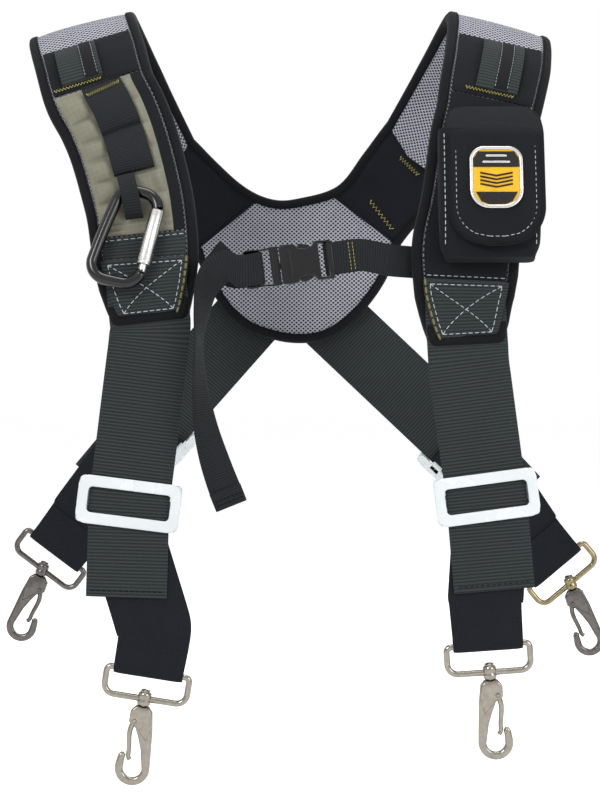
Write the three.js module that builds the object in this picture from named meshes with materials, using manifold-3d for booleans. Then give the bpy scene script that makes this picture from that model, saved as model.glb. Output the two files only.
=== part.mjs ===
/**
 * Padded tool-belt braces: two shoulder pads on a mesh back yoke, four adjustable
 * straps with swivel snap hooks, a sternum strap, a phone pouch and a carabiner.
 *
 * Millimetres, +Z up, front of the wearer faces -Y, +X is the viewer's right.
 * The origin lies midway between the shoulders, level with the inner face of the
 * pad crests, which is where the braces hang from the body.
 */
import * as THREE from 'three';
import * as BufferGeometryUtils from 'three/addons/utils/BufferGeometryUtils.js';
import Module from 'manifold-3d';

const wasm = await Module();
wasm.setup();

// ---------------------------------------------------------------- driving sizes

const GAP = 0.3;

const PAD_WIDTH = 70;
const PAD_THICKNESS = 9;
const PAD_STEPS = 40;
const PAD_BACK_END = 0.009;
const BINDING_WIDTH = 6.5;
const BINDING_PROUD = 1.2;
const PANEL_THICKNESS = 1.2;
const PADDED_PANEL_THICKNESS = 2.5;

const YOKE_THICKNESS = 8;
const YOKE_DEPTH = 85;
const YOKE_LEAN = 15;

const WEBBING_WIDTH = 50;
const WEBBING_THICKNESS = 1.4;
const ELASTIC_WIDTH = 47;
const ELASTIC_THICKNESS = 1.4;

const SLIDER_HEIGHT = 30;
const SLIDER_SIDE = 6.4;
const SLIDER_RAIL = 6;
const SLIDER_RAIL_THICKNESS = 2;
const SLIDER_BAR = 8;
const SLIDER_BAR_THICKNESS = 1.8;
const SLIDER_SIDE_CLEARANCE = 0.6;

const RING_WIRE = 4;
const RING_DROP = 17;
const RING_CORNER = 2.2;
const RING_SIDE_CLEARANCE = 0.4;
const BOSS_RADIUS = 4.2;
const BOSS_HEIGHT = 8.4;
const POST_RADIUS = 1.6;
const RIVET_RADIUS = 3;
const RIVET_THICKNESS = 1.2;

const HOOK_LENGTH = 50;
const HOOK_WIDTH = 22;
const HOOK_BAR = 5.5;
const HOOK_THICKNESS = 5;
const HOOK_BASE_WIDTH = 15;
const HOOK_BASE_HEIGHT = 9;
const HOOK_OPENING = 8;
const GATE_BAR = 3.4;
const PIN_RADIUS = 0.9;

const CHEST_WIDTH = 20;
const CHEST_THICKNESS = 1.2;
const BUCKLE_WIDTH = 25;
const BUCKLE_THICKNESS = 9;
const BUCKLE_WALL = 2;
const FEMALE_LENGTH = 33;
const MALE_LENGTH = 24;

const DAISY_WIDTH = 25;
const LABEL_WIDTH = 27;
const LOOP_THICKNESS = 1.2;
const LOOP_RISE = 3;
const PATCH_LENGTH = 38;

const POUCH_WIDTH = 56;
const POUCH_HEIGHT = 88;
const POUCH_DEPTH = 18;
const POUCH_WALL = 1.8;
const POUCH_MOUTH_DROP = 6;
const POUCH_CORNER = 6;
const FLAP_OVERHANG = 1.5;
const FLAP_DROP = 74;
const FLAP_CORNER = 18;
const BADGE_WIDTH = 33;
const BADGE_HEIGHT = 40;
const BADGE_THICKNESS = 2.2;
const BADGE_RIM = 3;
const BADGE_RECESS = 0.7;
const BADGE_CORNER = 9;

const CARABINER_HEIGHT = 67;
const CARABINER_WIDTH = 35;
const CARABINER_BAR = 7.5;
const SLEEVE_LENGTH = 36;
const SLEEVE_WALL = 0.9;
const GATE_ROD_RADIUS = 2.7;
const GATE_HINGE_GAP = 1.1;
const CARABINER_CLEARANCE = 1.6;
const CARABINER_LOOP_WIDTH = 9;

// ------------------------------------------------------------------- materials

/** One material per piece, so that each piece can be finished on its own. */
function finish(color, roughness, metalness = 0) {
  return () => new THREE.MeshStandardMaterial({ color, roughness, metalness });
}

const BLACK_CLOTH = finish(0x1c1d20, 0.9);
const GREY_MESH = finish(0x85868c, 0.85);
const RIPSTOP = finish(0x77766a, 0.8);
const RIBBED_WEBBING = finish(0x33383b, 0.75);
const DARK_ELASTIC = finish(0x1e2026, 0.8);
const CLEAR_PLASTIC = finish(0xd5dadb, 0.35);
const BLACK_PLASTIC = finish(0x121316, 0.35);
const NICKEL = finish(0xb7b4ac, 0.25, 1);
const BLACK_ANODISED = finish(0x101114, 0.25, 0.8);
const BRUSHED_ALUMINIUM = finish(0xd2d2ca, 0.3, 1);
const YELLOW_RUBBER = finish(0xe0a21a, 0.5);

const braces = new THREE.Group();

/** Adds one named piece to a parent group. */
function piece(name, geometry, material, parent = braces) {
  const mesh = new THREE.Mesh(geometry, material());
  mesh.name = name;
  parent.add(mesh);
  return mesh;
}

// ------------------------------------------------------------- solid operations

/** A closed geometry as a solid that can be joined and cut. */
function solid(geometry) {
  const bare = geometry.clone();
  bare.deleteAttribute('normal');
  bare.deleteAttribute('uv');
  const merged = BufferGeometryUtils.mergeVertices(bare, 1e-4);
  return new wasm.Manifold(new wasm.Mesh({
    numProp: 3,
    vertProperties: new Float32Array(merged.attributes.position.array),
    triVerts: new Uint32Array(merged.index.array),
  }));
}

/** The triangles of a solid as a geometry. */
function geometryOf(body) {
  const mesh = body.getMesh();
  const geometry = new THREE.BufferGeometry();
  geometry.setAttribute('position', new THREE.BufferAttribute(mesh.vertProperties, 3));
  geometry.setIndex(new THREE.BufferAttribute(mesh.triVerts, 1));
  return geometry;
}

/** Joins the first list of geometries and cuts the second list out of them. */
function combine(added, removed = []) {
  let body = solid(added[0]);
  added.slice(1).forEach((extra) => {
    body = body.add(solid(extra));
  });
  removed.forEach((cutter) => {
    body = body.subtract(solid(cutter));
  });
  return geometryOf(body);
}

/** A box between two corners. */
function block(x0, x1, y0, y1, z0, z1) {
  const geometry = new THREE.BoxGeometry(x1 - x0, y1 - y0, z1 - z0);
  return geometry.translate((x0 + x1) / 2, (y0 + y1) / 2, (z0 + z1) / 2);
}

/** An upright cylinder between two heights. */
function post(radius, z0, z1, sides = 12) {
  const geometry = new THREE.CylinderGeometry(radius, radius, z1 - z0, sides);
  return geometry.rotateX(Math.PI / 2).translate(0, 0, (z0 + z1) / 2);
}

/** A cylinder lying along Y, centred on y = 0. */
function crossPin(radius, length, x, z, sides = 10) {
  return new THREE.CylinderGeometry(radius, radius, length, sides).translate(x, 0, z);
}

/** A plate whose outline lies in the XZ plane, with its thickness along Y. */
function plate(shape, thickness, bevel = 0) {
  const geometry = new THREE.ExtrudeGeometry(shape, {
    depth: thickness - 2 * bevel,
    bevelEnabled: bevel > 0,
    bevelThickness: bevel,
    bevelSize: bevel,
    bevelOffset: -bevel,
    bevelSegments: 1,
    curveSegments: 4,
  });
  return geometry.rotateX(Math.PI / 2).translate(0, thickness / 2 - bevel, 0);
}

/** A rounded rectangle centred on the origin. */
function roundedRectangle(width, height, radius, path = new THREE.Shape()) {
  const x = width / 2;
  const z = height / 2;
  path.moveTo(-x + radius, -z);
  path.lineTo(x - radius, -z);
  path.absarc(x - radius, -z + radius, radius, -Math.PI / 2, 0);
  path.lineTo(x, z - radius);
  path.absarc(x - radius, z - radius, radius, 0, Math.PI / 2);
  path.lineTo(-x + radius, z);
  path.absarc(-x + radius, z - radius, radius, Math.PI / 2, Math.PI);
  path.lineTo(-x, -z + radius);
  path.absarc(-x + radius, -z + radius, radius, Math.PI, 1.5 * Math.PI);
  return path;
}

// --------------------------------------------------------------------- ribbons

/** The value of a size that may be a number or a function of the way along. */
function sizeAt(size, way) {
  return typeof size === 'function' ? size(way) : size;
}

/**
 * A flat band through a list of frames. Each frame has a point p, a unit vector a
 * across the band and a unit normal n; low and high are distances along n.
 */
function ribbon(frames, { width, low, high, steps = 1 }) {
  const last = frames.length - 1;
  const geometry = new THREE.BoxGeometry(1, 1, 1, steps, 1, last);
  const position = geometry.attributes.position;
  for (let i = 0; i < position.count; i += 1) {
    const index = Math.round((position.getZ(i) + 0.5) * last);
    const frame = frames[index];
    const way = index / last;
    const bottom = sizeAt(low, way);
    const top = sizeAt(high, way);
    const point = frame.p.clone()
      .addScaledVector(frame.a, position.getX(i) * (frame.width ?? sizeAt(width, way)))
      .addScaledVector(frame.n, bottom + (position.getY(i) + 0.5) * (top - bottom));
    position.setXYZ(i, point.x, point.y, point.z);
  }
  return geometry;
}

/** Frames along a list of points, given the direction across the band at each. */
function framesThrough(points, acrossAt) {
  return points.map((p, i) => {
    const before = points[Math.max(i - 1, 0)];
    const after = points[Math.min(i + 1, points.length - 1)];
    const along = after.clone().sub(before).normalize();
    const a = acrossAt(i / (points.length - 1), i).clone();
    a.addScaledVector(along, -a.dot(along)).normalize();
    return { p, a, n: along.clone().cross(a) };
  });
}

/** Points on a half circle in a local YZ plane, centred on (y, z). */
function halfTurn(y, z, radius, from, to, count = 6) {
  return Array.from({ length: count + 1 }, (_, i) => {
    const angle = THREE.MathUtils.degToRad(from + ((to - from) * i) / count);
    return new THREE.Vector3(0, y + radius * Math.cos(angle), z + radius * Math.sin(angle));
  });
}

// ----------------------------------------------------------------- shoulder pads

const HALF_PAD = PAD_THICKNESS / 2;
const PANEL_LOW = HALF_PAD + GAP;
const PANEL_HIGH = PANEL_LOW + PANEL_THICKNESS;
const BINDING_TOP = HALF_PAD + BINDING_PROUD;
const STRAP_LOW = Math.max(BINDING_TOP, PANEL_HIGH) + GAP;
const STRAP_HIGH = STRAP_LOW + WEBBING_THICKNESS;
const PATCH_LOW = STRAP_HIGH + GAP;
const PATCH_HIGH = PATCH_LOW + PANEL_THICKNESS;

/** Stations from the yoke over the crest to the front end: middle of the pad, tilt
 * of its outer edge in degrees, and how much narrower it is than PAD_WIDTH. */
const PAD_STATIONS = {
  right: [
    [83, YOKE_DEPTH - 12, -70, 44, 8],
    [112, 44, -26, 30, 2],
    [131.5, 0, 4.5, 15, 0],
    [128.6, -38, -21, 13, 0],
    [123, -55, -45, 12, 2],
    [119.5, -62, -61, 11, 4],
    [116, -68, -79, 9, 2],
    [113, -75, -106, 5, 0],
    [110, -79, -123, 2, 0],
    [104, -83, -146, 0, 2],
    [103, -85, -163, 0, 4],
    [102.5, -86, -178, 0, 8],
    [103, -87, -196, 0, 17],
    [103.7, -88, -209, 0, 26],
  ],
  left: [
    [-99, YOKE_DEPTH - 12.5, -78.5, 44, 8],
    [-126.5, 44, -31, 30, 0],
    [-145, 0, 4.5, 15, -3],
    [-136, -38, -21, 13, -3],
    [-128, -55, -45, 12, -2],
    [-119.5, -62, -61, 11, -1],
    [-112, -68, -79, 9, 0],
    [-104, -75, -106, 5, 1],
    [-100, -79, -123, 2, 2],
    [-97, -83, -146, 0, 3],
    [-96, -85, -159, 0, 5],
    [-95, -86, -172, 0, 10],
    [-93.5, -87, -187, 0, 19],
    [-92.5, -88, -195.5, 0, 26],
  ],
};

/** The bent middle surface of one shoulder pad. */
class PadSurface {
  constructor(stations) {
    this.stations = stations;
    this.side = Math.sign(stations[0][0]);
    const points = stations.map(([x, y, z]) => new THREE.Vector3(x, y, z));
    this.curve = new THREE.CatmullRomCurve3(points, false, 'centripetal');
  }

  /** A station's value, interpolated at the way t from 0 at the yoke to 1 in front. */
  value(column, t) {
    const scaled = t * (this.stations.length - 1);
    const index = Math.min(Math.floor(scaled), this.stations.length - 2);
    const [here, next] = [this.stations[index][column], this.stations[index + 1][column]];
    return here + (next - here) * (scaled - index);
  }

  /** The way t at which the front half comes down to a height. */
  at(z) {
    let high = 2 / (this.stations.length - 1);
    let low = 1;
    for (let i = 0; i < 30; i += 1) {
      const middle = (high + low) / 2;
      if (this.curve.getPoint(middle).z > z) {
        high = middle;
      } else {
        low = middle;
      }
    }
    return high;
  }

  /** The frame at the way t, raised from the middle surface and moved sideways. */
  frame(t, lift = 0, shift = 0) {
    const along = this.curve.getTangent(t);
    const tilt = THREE.MathUtils.degToRad(this.value(3, t));
    const a = new THREE.Vector3(Math.cos(tilt), 0, -this.side * Math.sin(tilt));
    a.addScaledVector(along, -a.dot(along)).normalize();
    const n = along.clone().cross(a);
    const p = this.curve.getPoint(t).addScaledVector(n, lift).addScaledVector(a, shift);
    return { p, a, n, width: PAD_WIDTH - this.value(4, t), along };
  }

  /** Frames from one way to another, on the pad's own grid of steps. */
  frames(t0, t1, { lift = 0, shift = 0, inset = 0, width } = {}) {
    const ways = [t0];
    for (let i = 0; i <= PAD_STEPS; i += 1) {
      const t = i / PAD_STEPS;
      if (t > t0 + 0.2 / PAD_STEPS && t < t1 - 0.2 / PAD_STEPS) {
        ways.push(t);
      }
    }
    ways.push(t1);
    return ways.map((t) => {
      const frame = this.frame(t, lift, sizeAt(shift, (t - t0) / (t1 - t0)));
      frame.width = width ?? frame.width - 2 * inset;
      frame.last = t === 1;
      return frame;
    });
  }

  /** The way t that lies a distance short of the front end. */
  beforeEnd(distance) {
    const step = 1 / 800;
    let t = 1;
    let run = 0;
    while (run < distance) {
      run += this.curve.getPoint(t).distanceTo(this.curve.getPoint(t - step));
      t -= step;
    }
    return t;
  }
}

const PADS = {
  left: new PadSurface(PAD_STATIONS.left),
  right: new PadSurface(PAD_STATIONS.right),
};

const EDGE_INSET = BINDING_WIDTH + 3 * GAP;

/** The foam pad inside its binding. */
function padCore(pad) {
  const frames = pad.frames(PAD_BACK_END, pad.beforeEnd(EDGE_INSET), { inset: EDGE_INSET });
  return ribbon(frames, { low: -HALF_PAD, high: HALF_PAD, steps: 2 });
}

/** The binding tape down one edge, across the front end and back up the other. */
function padBinding(pad) {
  const ways = pad.frames(PAD_BACK_END, 1);
  const down = ways.map((frame) => ({ ...frame, sign: -1 }));
  const up = ways.map((frame) => ({ ...frame, sign: 1 })).reverse();
  const frames = [...down, ...up].map(({ p, a, n, width, along, sign, last }) => {
    const inward = a.clone().multiplyScalar(-sign);
    if (last) {
      inward.sub(along);
    }
    const middle = p.clone()
      .addScaledVector(a, (sign * width) / 2)
      .addScaledVector(inward, BINDING_WIDTH / 2);
    return { p: middle, a: inward, n };
  });
  return ribbon(frames, { width: BINDING_WIDTH, low: -BINDING_TOP, high: BINDING_TOP });
}

/** A layer sewn on the pad between two heights. */
function padLayer(pad, zTop, zBottom, options, low, high) {
  const frames = pad.frames(pad.at(zTop), pad.at(zBottom), options);
  return ribbon(frames, { low, high });
}

/** A band sewn down at both ends that stands off the pad in between. */
function padLoop(pad, zTop, zBottom, { width, shift = 0, foot, rise }) {
  const stand = (way) => foot + rise * Math.min(1, 6 * Math.min(way, 1 - way));
  const t0 = pad.at(zTop);
  const t1 = pad.at(zBottom);
  const count = 12;
  const frames = Array.from({ length: count + 1 }, (_, i) => {
    const way = i / count;
    const frame = pad.frame(t0 + (t1 - t0) * way, 0, sizeAt(shift, way));
    frame.width = width;
    return frame;
  });
  return ribbon(frames, { low: stand, high: (way) => stand(way) + LOOP_THICKNESS });
}

const TOP_PANELS = { left: [-12, -42], right: [-12, -52] };
const LABELS = {
  left: { top: -14, bottom: -39, shift: -8 },
  right: { top: -14, bottom: -48, shift: 2 },
};

for (const [name, pad] of Object.entries(PADS)) {
  piece(`${name}_shoulder_pad`, padCore(pad), GREY_MESH);
  piece(`${name}_pad_binding`, padBinding(pad), BLACK_CLOTH);
  const [panelTop, panelBottom] = TOP_PANELS[name];
  const inset = EDGE_INSET;
  piece(
    `${name}_top_panel`,
    padLayer(pad, panelTop, panelBottom, { inset }, PANEL_LOW, PANEL_HIGH),
    BLACK_CLOTH,
  );
  const label = LABELS[name];
  const foot = PANEL_HIGH + GAP;
  const loop = { width: LABEL_WIDTH, shift: label.shift, foot, rise: LOOP_RISE };
  piece(`${name}_label_loop`, padLoop(pad, label.top, label.bottom, loop), RIBBED_WEBBING);
}

const RIPSTOP_HIGH = PANEL_LOW + PADDED_PANEL_THICKNESS;
const RIPSTOP_SPAN = [-43, -139];
const BAND_SPAN = [-140, -157];
piece(
  'left_ripstop_panel',
  padLayer(PADS.left, ...RIPSTOP_SPAN, { inset: EDGE_INSET }, PANEL_LOW, RIPSTOP_HIGH),
  RIPSTOP,
);
piece(
  'left_webbing_band',
  padLayer(PADS.left, ...BAND_SPAN, { inset: EDGE_INSET }, PANEL_LOW, PANEL_HIGH),
  RIBBED_WEBBING,
);
piece(
  'right_front_panel',
  padLayer(PADS.right, -53, -172, { inset: EDGE_INSET }, PANEL_LOW, PANEL_HIGH),
  BLACK_CLOTH,
);

const DAISY_FOOT = RIPSTOP_HIGH + GAP;
const CARABINER_LOOP_RISE = CARABINER_BAR + 2 * CARABINER_CLEARANCE - GAP;
const CARABINER_HANG = -116;
const DAISY_LOOPS = [
  { top: -46, bottom: -73, width: DAISY_WIDTH, shift: 2, rise: LOOP_RISE },
  { top: -75, bottom: -101, width: DAISY_WIDTH, shift: 2, rise: LOOP_RISE },
  {
    top: -103, bottom: -129, width: CARABINER_LOOP_WIDTH, shift: -5,
    rise: CARABINER_LOOP_RISE,
  },
];
DAISY_LOOPS.forEach(({ top, bottom, width, shift, rise }, i) => {
  const loop = padLoop(PADS.left, top, bottom, { width, shift, foot: DAISY_FOOT, rise });
  piece(`daisy_loop_${i + 1}`, loop, RIBBED_WEBBING);
});

// -------------------------------------------------------------------------- yoke

/** How far back the yoke's middle surface stands at a height. */
function yokeDepthAt(z) {
  const rise = THREE.MathUtils.clamp((z + 130) / YOKE_DEPTH, 0, 1);
  return YOKE_DEPTH - YOKE_LEAN * rise * rise * (3 - 2 * rise);
}

/** A smooth outline through points given as [x, z]. */
function smooth(points, count) {
  return new THREE.SplineCurve(points.map(([x, z]) => new THREE.Vector2(x, z))).getPoints(count);
}

/** An open outline moved sideways, to the right of its direction. */
function offsetOutline(outline, distance) {
  return outline.map((point, i) => {
    const before = outline[Math.max(i - 1, 0)];
    const after = outline[Math.min(i + 1, outline.length - 1)];
    const along = after.clone().sub(before).normalize();
    return new THREE.Vector2(point.x + along.y * distance, point.y - along.x * distance);
  });
}

/** The part of an outline on the left of a line. */
function clip(outline, [x0, z0], [x1, z1]) {
  const along = new THREE.Vector2(x1 - x0, z1 - z0).normalize();
  const side = (p) => along.x * (p.y - z0) - along.y * (p.x - x0);
  const kept = [];
  outline.forEach((here, i) => {
    const next = outline[(i + 1) % outline.length];
    const [a, b] = [side(here), side(next)];
    if (a >= 0) {
      kept.push(here);
    }
    if (a * b < 0) {
      kept.push(here.clone().lerp(next, a / (a - b)));
    }
  });
  return kept;
}

/** A yoke layer: an outline in XZ, thickened and leant with the yoke. */
function yokeLayer(outline, low, high) {
  const geometry = new THREE.ExtrudeGeometry(new THREE.Shape(outline), {
    depth: high - low,
    bevelEnabled: false,
  });
  const position = geometry.attributes.position;
  for (let i = 0; i < position.count; i += 1) {
    const [x, z, lift] = [position.getX(i), position.getY(i), position.getZ(i)];
    position.setXYZ(i, x, yokeDepthAt(z) + high - lift, z);
  }
  return geometry;
}

const NECKLINE = smooth([
  [-73, -59], [-58, -74], [-42, -88], [-29, -95.5], [-15, -99], [0, -97.5], [27, -89],
  [45, -67], [57, -51],
], 26);
const YOKE_HEM = smooth([
  [103, -96], [92, -108], [78, -123], [68, -138], [63, -153], [50, -173], [33, -190],
  [16, -199], [-3, -201], [-21, -198], [-39, -191], [-54, -178], [-64, -162.5],
  [-73, -143], [-82, -126], [-99, -116], [-117, -104],
], 44);
const HALF_YOKE = YOKE_THICKNESS / 2;
const YOKE_INSIDE = [
  ...offsetOutline(NECKLINE, EDGE_INSET),
  ...offsetOutline(YOKE_HEM, EDGE_INSET),
];
const MESH_EDGES = {
  left: [[-36, -104], [-72, -133]],
  right: [[72, -133], [25, -98]],
};

/** A strip of binding along an outline, on its right-hand side. */
function yokeBinding(outline) {
  const strip = [...outline, ...offsetOutline(outline, BINDING_WIDTH).reverse()];
  return yokeLayer(strip, -HALF_YOKE - BINDING_PROUD, HALF_YOKE + BINDING_PROUD);
}

/** A line moved sideways, to its left. */
function moved([[x0, z0], [x1, z1]], distance) {
  const along = new THREE.Vector2(x1 - x0, z1 - z0).normalize();
  const [dx, dz] = [-along.y * distance, along.x * distance];
  return [[x0 + dx, z0 + dz], [x1 + dx, z1 + dz]];
}

const meshOutline = clip(clip(YOKE_INSIDE, ...MESH_EDGES.right), ...MESH_EDGES.left);
piece('yoke_pad', yokeLayer(meshOutline, -HALF_YOKE, HALF_YOKE), GREY_MESH);
piece('yoke_neck_binding', yokeBinding(NECKLINE), BLACK_CLOTH);
piece('yoke_hem_binding', yokeBinding(YOKE_HEM), BLACK_CLOTH);
for (const [name, edge] of Object.entries(MESH_EDGES)) {
  const wing = clip(YOKE_INSIDE, ...moved([edge[1], edge[0]], GAP));
  piece(`${name}_yoke_wing`, yokeLayer(wing, -HALF_YOKE, HALF_YOKE), BLACK_CLOTH);
}

// ------------------------------------------------------------- straps and hooks

const HALF_WEBBING = WEBBING_THICKNESS / 2;
const HALF_ELASTIC = ELASTIC_THICKNESS / 2;

/** The depth at which the straight part of each pair of straps hangs. */
const STRAP_PLANE = {
  front: PAD_STATIONS.right.at(-1)[1] - STRAP_LOW - HALF_WEBBING,
  back: YOKE_DEPTH + HALF_YOKE + BINDING_PROUD + GAP + HALF_WEBBING,
};

/** Depths behind the ribbed webbing, measured from its middle. */
const ELASTIC_MIDDLE = HALF_WEBBING + GAP + HALF_ELASTIC;
const BAR_MIDDLE = ELASTIC_MIDDLE + HALF_ELASTIC + GAP + SLIDER_BAR_THICKNESS / 2;
const BAR_WRAP = BAR_MIDDLE - ELASTIC_MIDDLE;
const RAIL_BACK = -HALF_WEBBING - GAP;
const RAIL_FRONT = RAIL_BACK - SLIDER_RAIL_THICKNESS;
const WIRE_REACH = RING_WIRE * 0.54;
const RING_WRAP = WIRE_REACH + GAP + HALF_ELASTIC;
const RING_PLANE = ELASTIC_MIDDLE + RING_WRAP;
const SEWN_GAP = GAP + ELASTIC_THICKNESS;

const SLIDER_INSIDE = WEBBING_WIDTH / 2 + SLIDER_SIDE_CLEARANCE;
const SLIDER_WIDTH = 2 * (SLIDER_INSIDE + SLIDER_SIDE);
const RING_INSIDE = ELASTIC_WIDTH / 2 + RING_SIDE_CLEARANCE;
const RING_FOLD_WIDTH = ELASTIC_WIDTH - 2 * RING_CORNER;
const RING_WIDTH = 2 * (RING_INSIDE + RING_WIRE);

/**
 * The four straps. Points are [x, z] where the straight run starts, the middle of
 * the slider and the middle of the ring's upper bar. Angles are in degrees: the
 * ring's and hook's lean turn them about Y, and gate is the side it opens on, seen
 * from the front.
 */
const STRAPS = [
  {
    name: 'front_left', face: 'front', start: [-93.4, -207], slider: [-105.7, -306],
    ring: [-94, -410.6], ringLean: 9, hookLean: 10, gate: -1,
  },
  {
    name: 'front_right', face: 'front', start: [104.4, -220], slider: [115.3, -302],
    ring: [116.6, -394], ringLean: -4, hookLean: -5, gate: 1,
  },
  {
    name: 'back_left', face: 'back', start: [-36, -181], slider: [-106, -260],
    ring: [-175.5, -350.5], ringLean: 37, hookLean: 20, gate: 1,
  },
  {
    name: 'back_right', face: 'back', start: [22, -183], slider: [116, -272],
    ring: [184, -361], ringLean: -40, hookLean: -18, gate: -1,
  },
];
const FREE_TAIL = 58;

/** A placement at [x, y, z], facing the front or the back, turned about Y. */
function placement(x, y, z, face, leanInDegrees) {
  const turn = new THREE.Matrix4().makeRotationY(THREE.MathUtils.degToRad(leanInDegrees));
  const about = new THREE.Matrix4().makeRotationZ(face === 'back' ? Math.PI : 0);
  return new THREE.Matrix4().makeTranslation(x, y, z).multiply(turn).multiply(about);
}

/** The clear plastic three-bar slider: rails outside the webbing, bar inside it. */
function sliderGeometry() {
  const half = SLIDER_HEIGHT / 2;
  const side = SLIDER_WIDTH / 2;
  const barBack = BAR_MIDDLE + SLIDER_BAR_THICKNESS / 2;
  const barFront = BAR_MIDDLE - SLIDER_BAR_THICKNESS / 2;
  const outline = roundedRectangle(SLIDER_WIDTH, SLIDER_HEIGHT, 3);
  const frame = plate(outline, barBack - RAIL_FRONT, 0.6);
  frame.translate(0, (barBack + RAIL_FRONT) / 2, 0);
  const window = SLIDER_HEIGHT / 2 - SLIDER_RAIL;
  const inside = SLIDER_INSIDE;
  return combine([
    geometryOf(solid(frame)
      .subtract(solid(block(-inside, inside, RAIL_FRONT - 1, barBack + 1, -window, window)))
      .subtract(solid(block(-inside, inside, RAIL_BACK, barBack + 1, -half - 1, half + 1)))),
    block(-side + 2, side - 2, barFront, barBack, -SLIDER_BAR / 2, SLIDER_BAR / 2),
  ]);
}

/** The wire loop with the boss that the hook's post turns in. */
function ringGeometry(bossPlacement) {
  const height = RING_DROP + RING_WIRE;
  const outline = roundedRectangle(RING_WIDTH, height, RING_CORNER + RING_WIRE);
  outline.holes.push(roundedRectangle(
    2 * RING_INSIDE,
    RING_DROP - RING_WIRE,
    RING_CORNER,
    new THREE.Path(),
  ));
  const loop = plate(outline, RING_WIRE, RING_WIRE * 0.29);
  const centred = loop.translate(0, 0, -RING_DROP / 2);
  const boss = post(BOSS_RADIUS, -BOSS_HEIGHT / 2, BOSS_HEIGHT / 2, 12);
  const bore = post(POST_RADIUS + GAP, -BOSS_HEIGHT, BOSS_HEIGHT, 8);
  return combine([centred, boss.applyMatrix4(bossPlacement)], [bore.applyMatrix4(bossPlacement)]);
}

const HOOK_TOP = -BOSS_HEIGHT / 2 - GAP;
const HOOK_RADIUS = (HOOK_WIDTH - HOOK_BAR) / 2;
const HOOK_SEAT = HOOK_TOP - HOOK_LENGTH + HOOK_BAR / 2 + HOOK_RADIUS;
const GATE_PIVOT = { x: 3.6, z: HOOK_TOP - HOOK_BASE_HEIGHT - 0.6 };
const NOSE = { x: HOOK_RADIUS - 0.4, z: HOOK_SEAT + HOOK_OPENING };
const GATE_SLOT = GATE_BAR + 2 * GAP;
const GATE_SLOT_REACH = 1.4;

/** A bar of given width along a centre line in XZ, as a closed outline. */
function barOutline(centreLine, widthAt) {
  const line = centreLine.filter((p, i) => i === 0 || p.distanceTo(centreLine[i - 1]) > 0.5);
  const half = (way) => widthAt(way) / 2;
  const sideOf = (sign) => line.map((point, i) => {
    const before = line[Math.max(i - 1, 0)];
    const after = line[Math.min(i + 1, line.length - 1)];
    const along = after.clone().sub(before).normalize();
    const reach = sign * half(i / (line.length - 1));
    return new THREE.Vector2(point.x - along.y * reach, point.y + along.x * reach);
  });
  return new THREE.Shape([...sideOf(-1), ...sideOf(1).reverse()]);
}

/** The hook about the foot of its post: x towards the gate, z up the post. */
function hookGeometry() {
  const spine = [[-1.5, HOOK_TOP - 5], [-5, HOOK_TOP - 12], [-HOOK_RADIUS + 0.4, HOOK_TOP - 21]];
  const bottom = Array.from({ length: 9 }, (_, i) => {
    const angle = Math.PI + (Math.PI * i) / 8;
    return [HOOK_RADIUS * Math.cos(angle), HOOK_SEAT + HOOK_RADIUS * Math.sin(angle)];
  });
  const line = [...spine, ...bottom, [NOSE.x, NOSE.z]].map(([x, z]) => new THREE.Vector2(x, z));
  const hook = plate(barOutline(line, (way) => HOOK_BAR - 1.5 * way * way), HOOK_THICKNESS, 0.9);
  const base = new THREE.Shape([
    [-4, HOOK_TOP], [4, HOOK_TOP], [HOOK_BASE_WIDTH / 2, HOOK_TOP - 4],
    [HOOK_BASE_WIDTH / 2 - 0.8, HOOK_TOP - HOOK_BASE_HEIGHT - 2.5],
    [-HOOK_BASE_WIDTH / 2 + 0.5, HOOK_TOP - HOOK_BASE_HEIGHT - 5],
    [-HOOK_BASE_WIDTH / 2, HOOK_TOP - 4],
  ].map(([x, z]) => new THREE.Vector2(x, z)));
  const rivetBase = BOSS_HEIGHT / 2 + GAP;
  const slotTop = GATE_PIVOT.z + GATE_BAR / 2 + 3 * GAP;
  const body = combine(
    [hook, plate(base, HOOK_THICKNESS + 2, 0.9)],
    [block(-GATE_SLOT_REACH, HOOK_WIDTH, -GATE_SLOT / 2, GATE_SLOT / 2, slotTop - 9, slotTop)],
  );
  return combine([
    body,
    post(POST_RADIUS, HOOK_TOP - 1, rivetBase + 0.5),
    post(RIVET_RADIUS, rivetBase, rivetBase + RIVET_THICKNESS),
    crossPin(PIN_RADIUS, HOOK_THICKNESS + 1, GATE_PIVOT.x, GATE_PIVOT.z),
  ]);
}

/** The sprung gate, from its pin down to the inside of the nose. */
function gateGeometry() {
  const tip = new THREE.Vector2(NOSE.x - HOOK_BAR / 2 - GATE_BAR / 2 + 0.4, NOSE.z - 1);
  const root = new THREE.Vector2(GATE_PIVOT.x, GATE_PIVOT.z);
  const line = [root.clone().lerp(tip, -0.02), root.clone().lerp(tip, 0.5), tip];
  const bar = plate(barOutline(line, () => GATE_BAR), GATE_BAR, 0.5);
  const eye = crossPin(GATE_BAR / 2 + 0.5, GATE_BAR, root.x, root.y, 12);
  return combine([bar, eye], [crossPin(PIN_RADIUS + GAP, GATE_BAR + 2, root.x, root.y)]);
}

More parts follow.
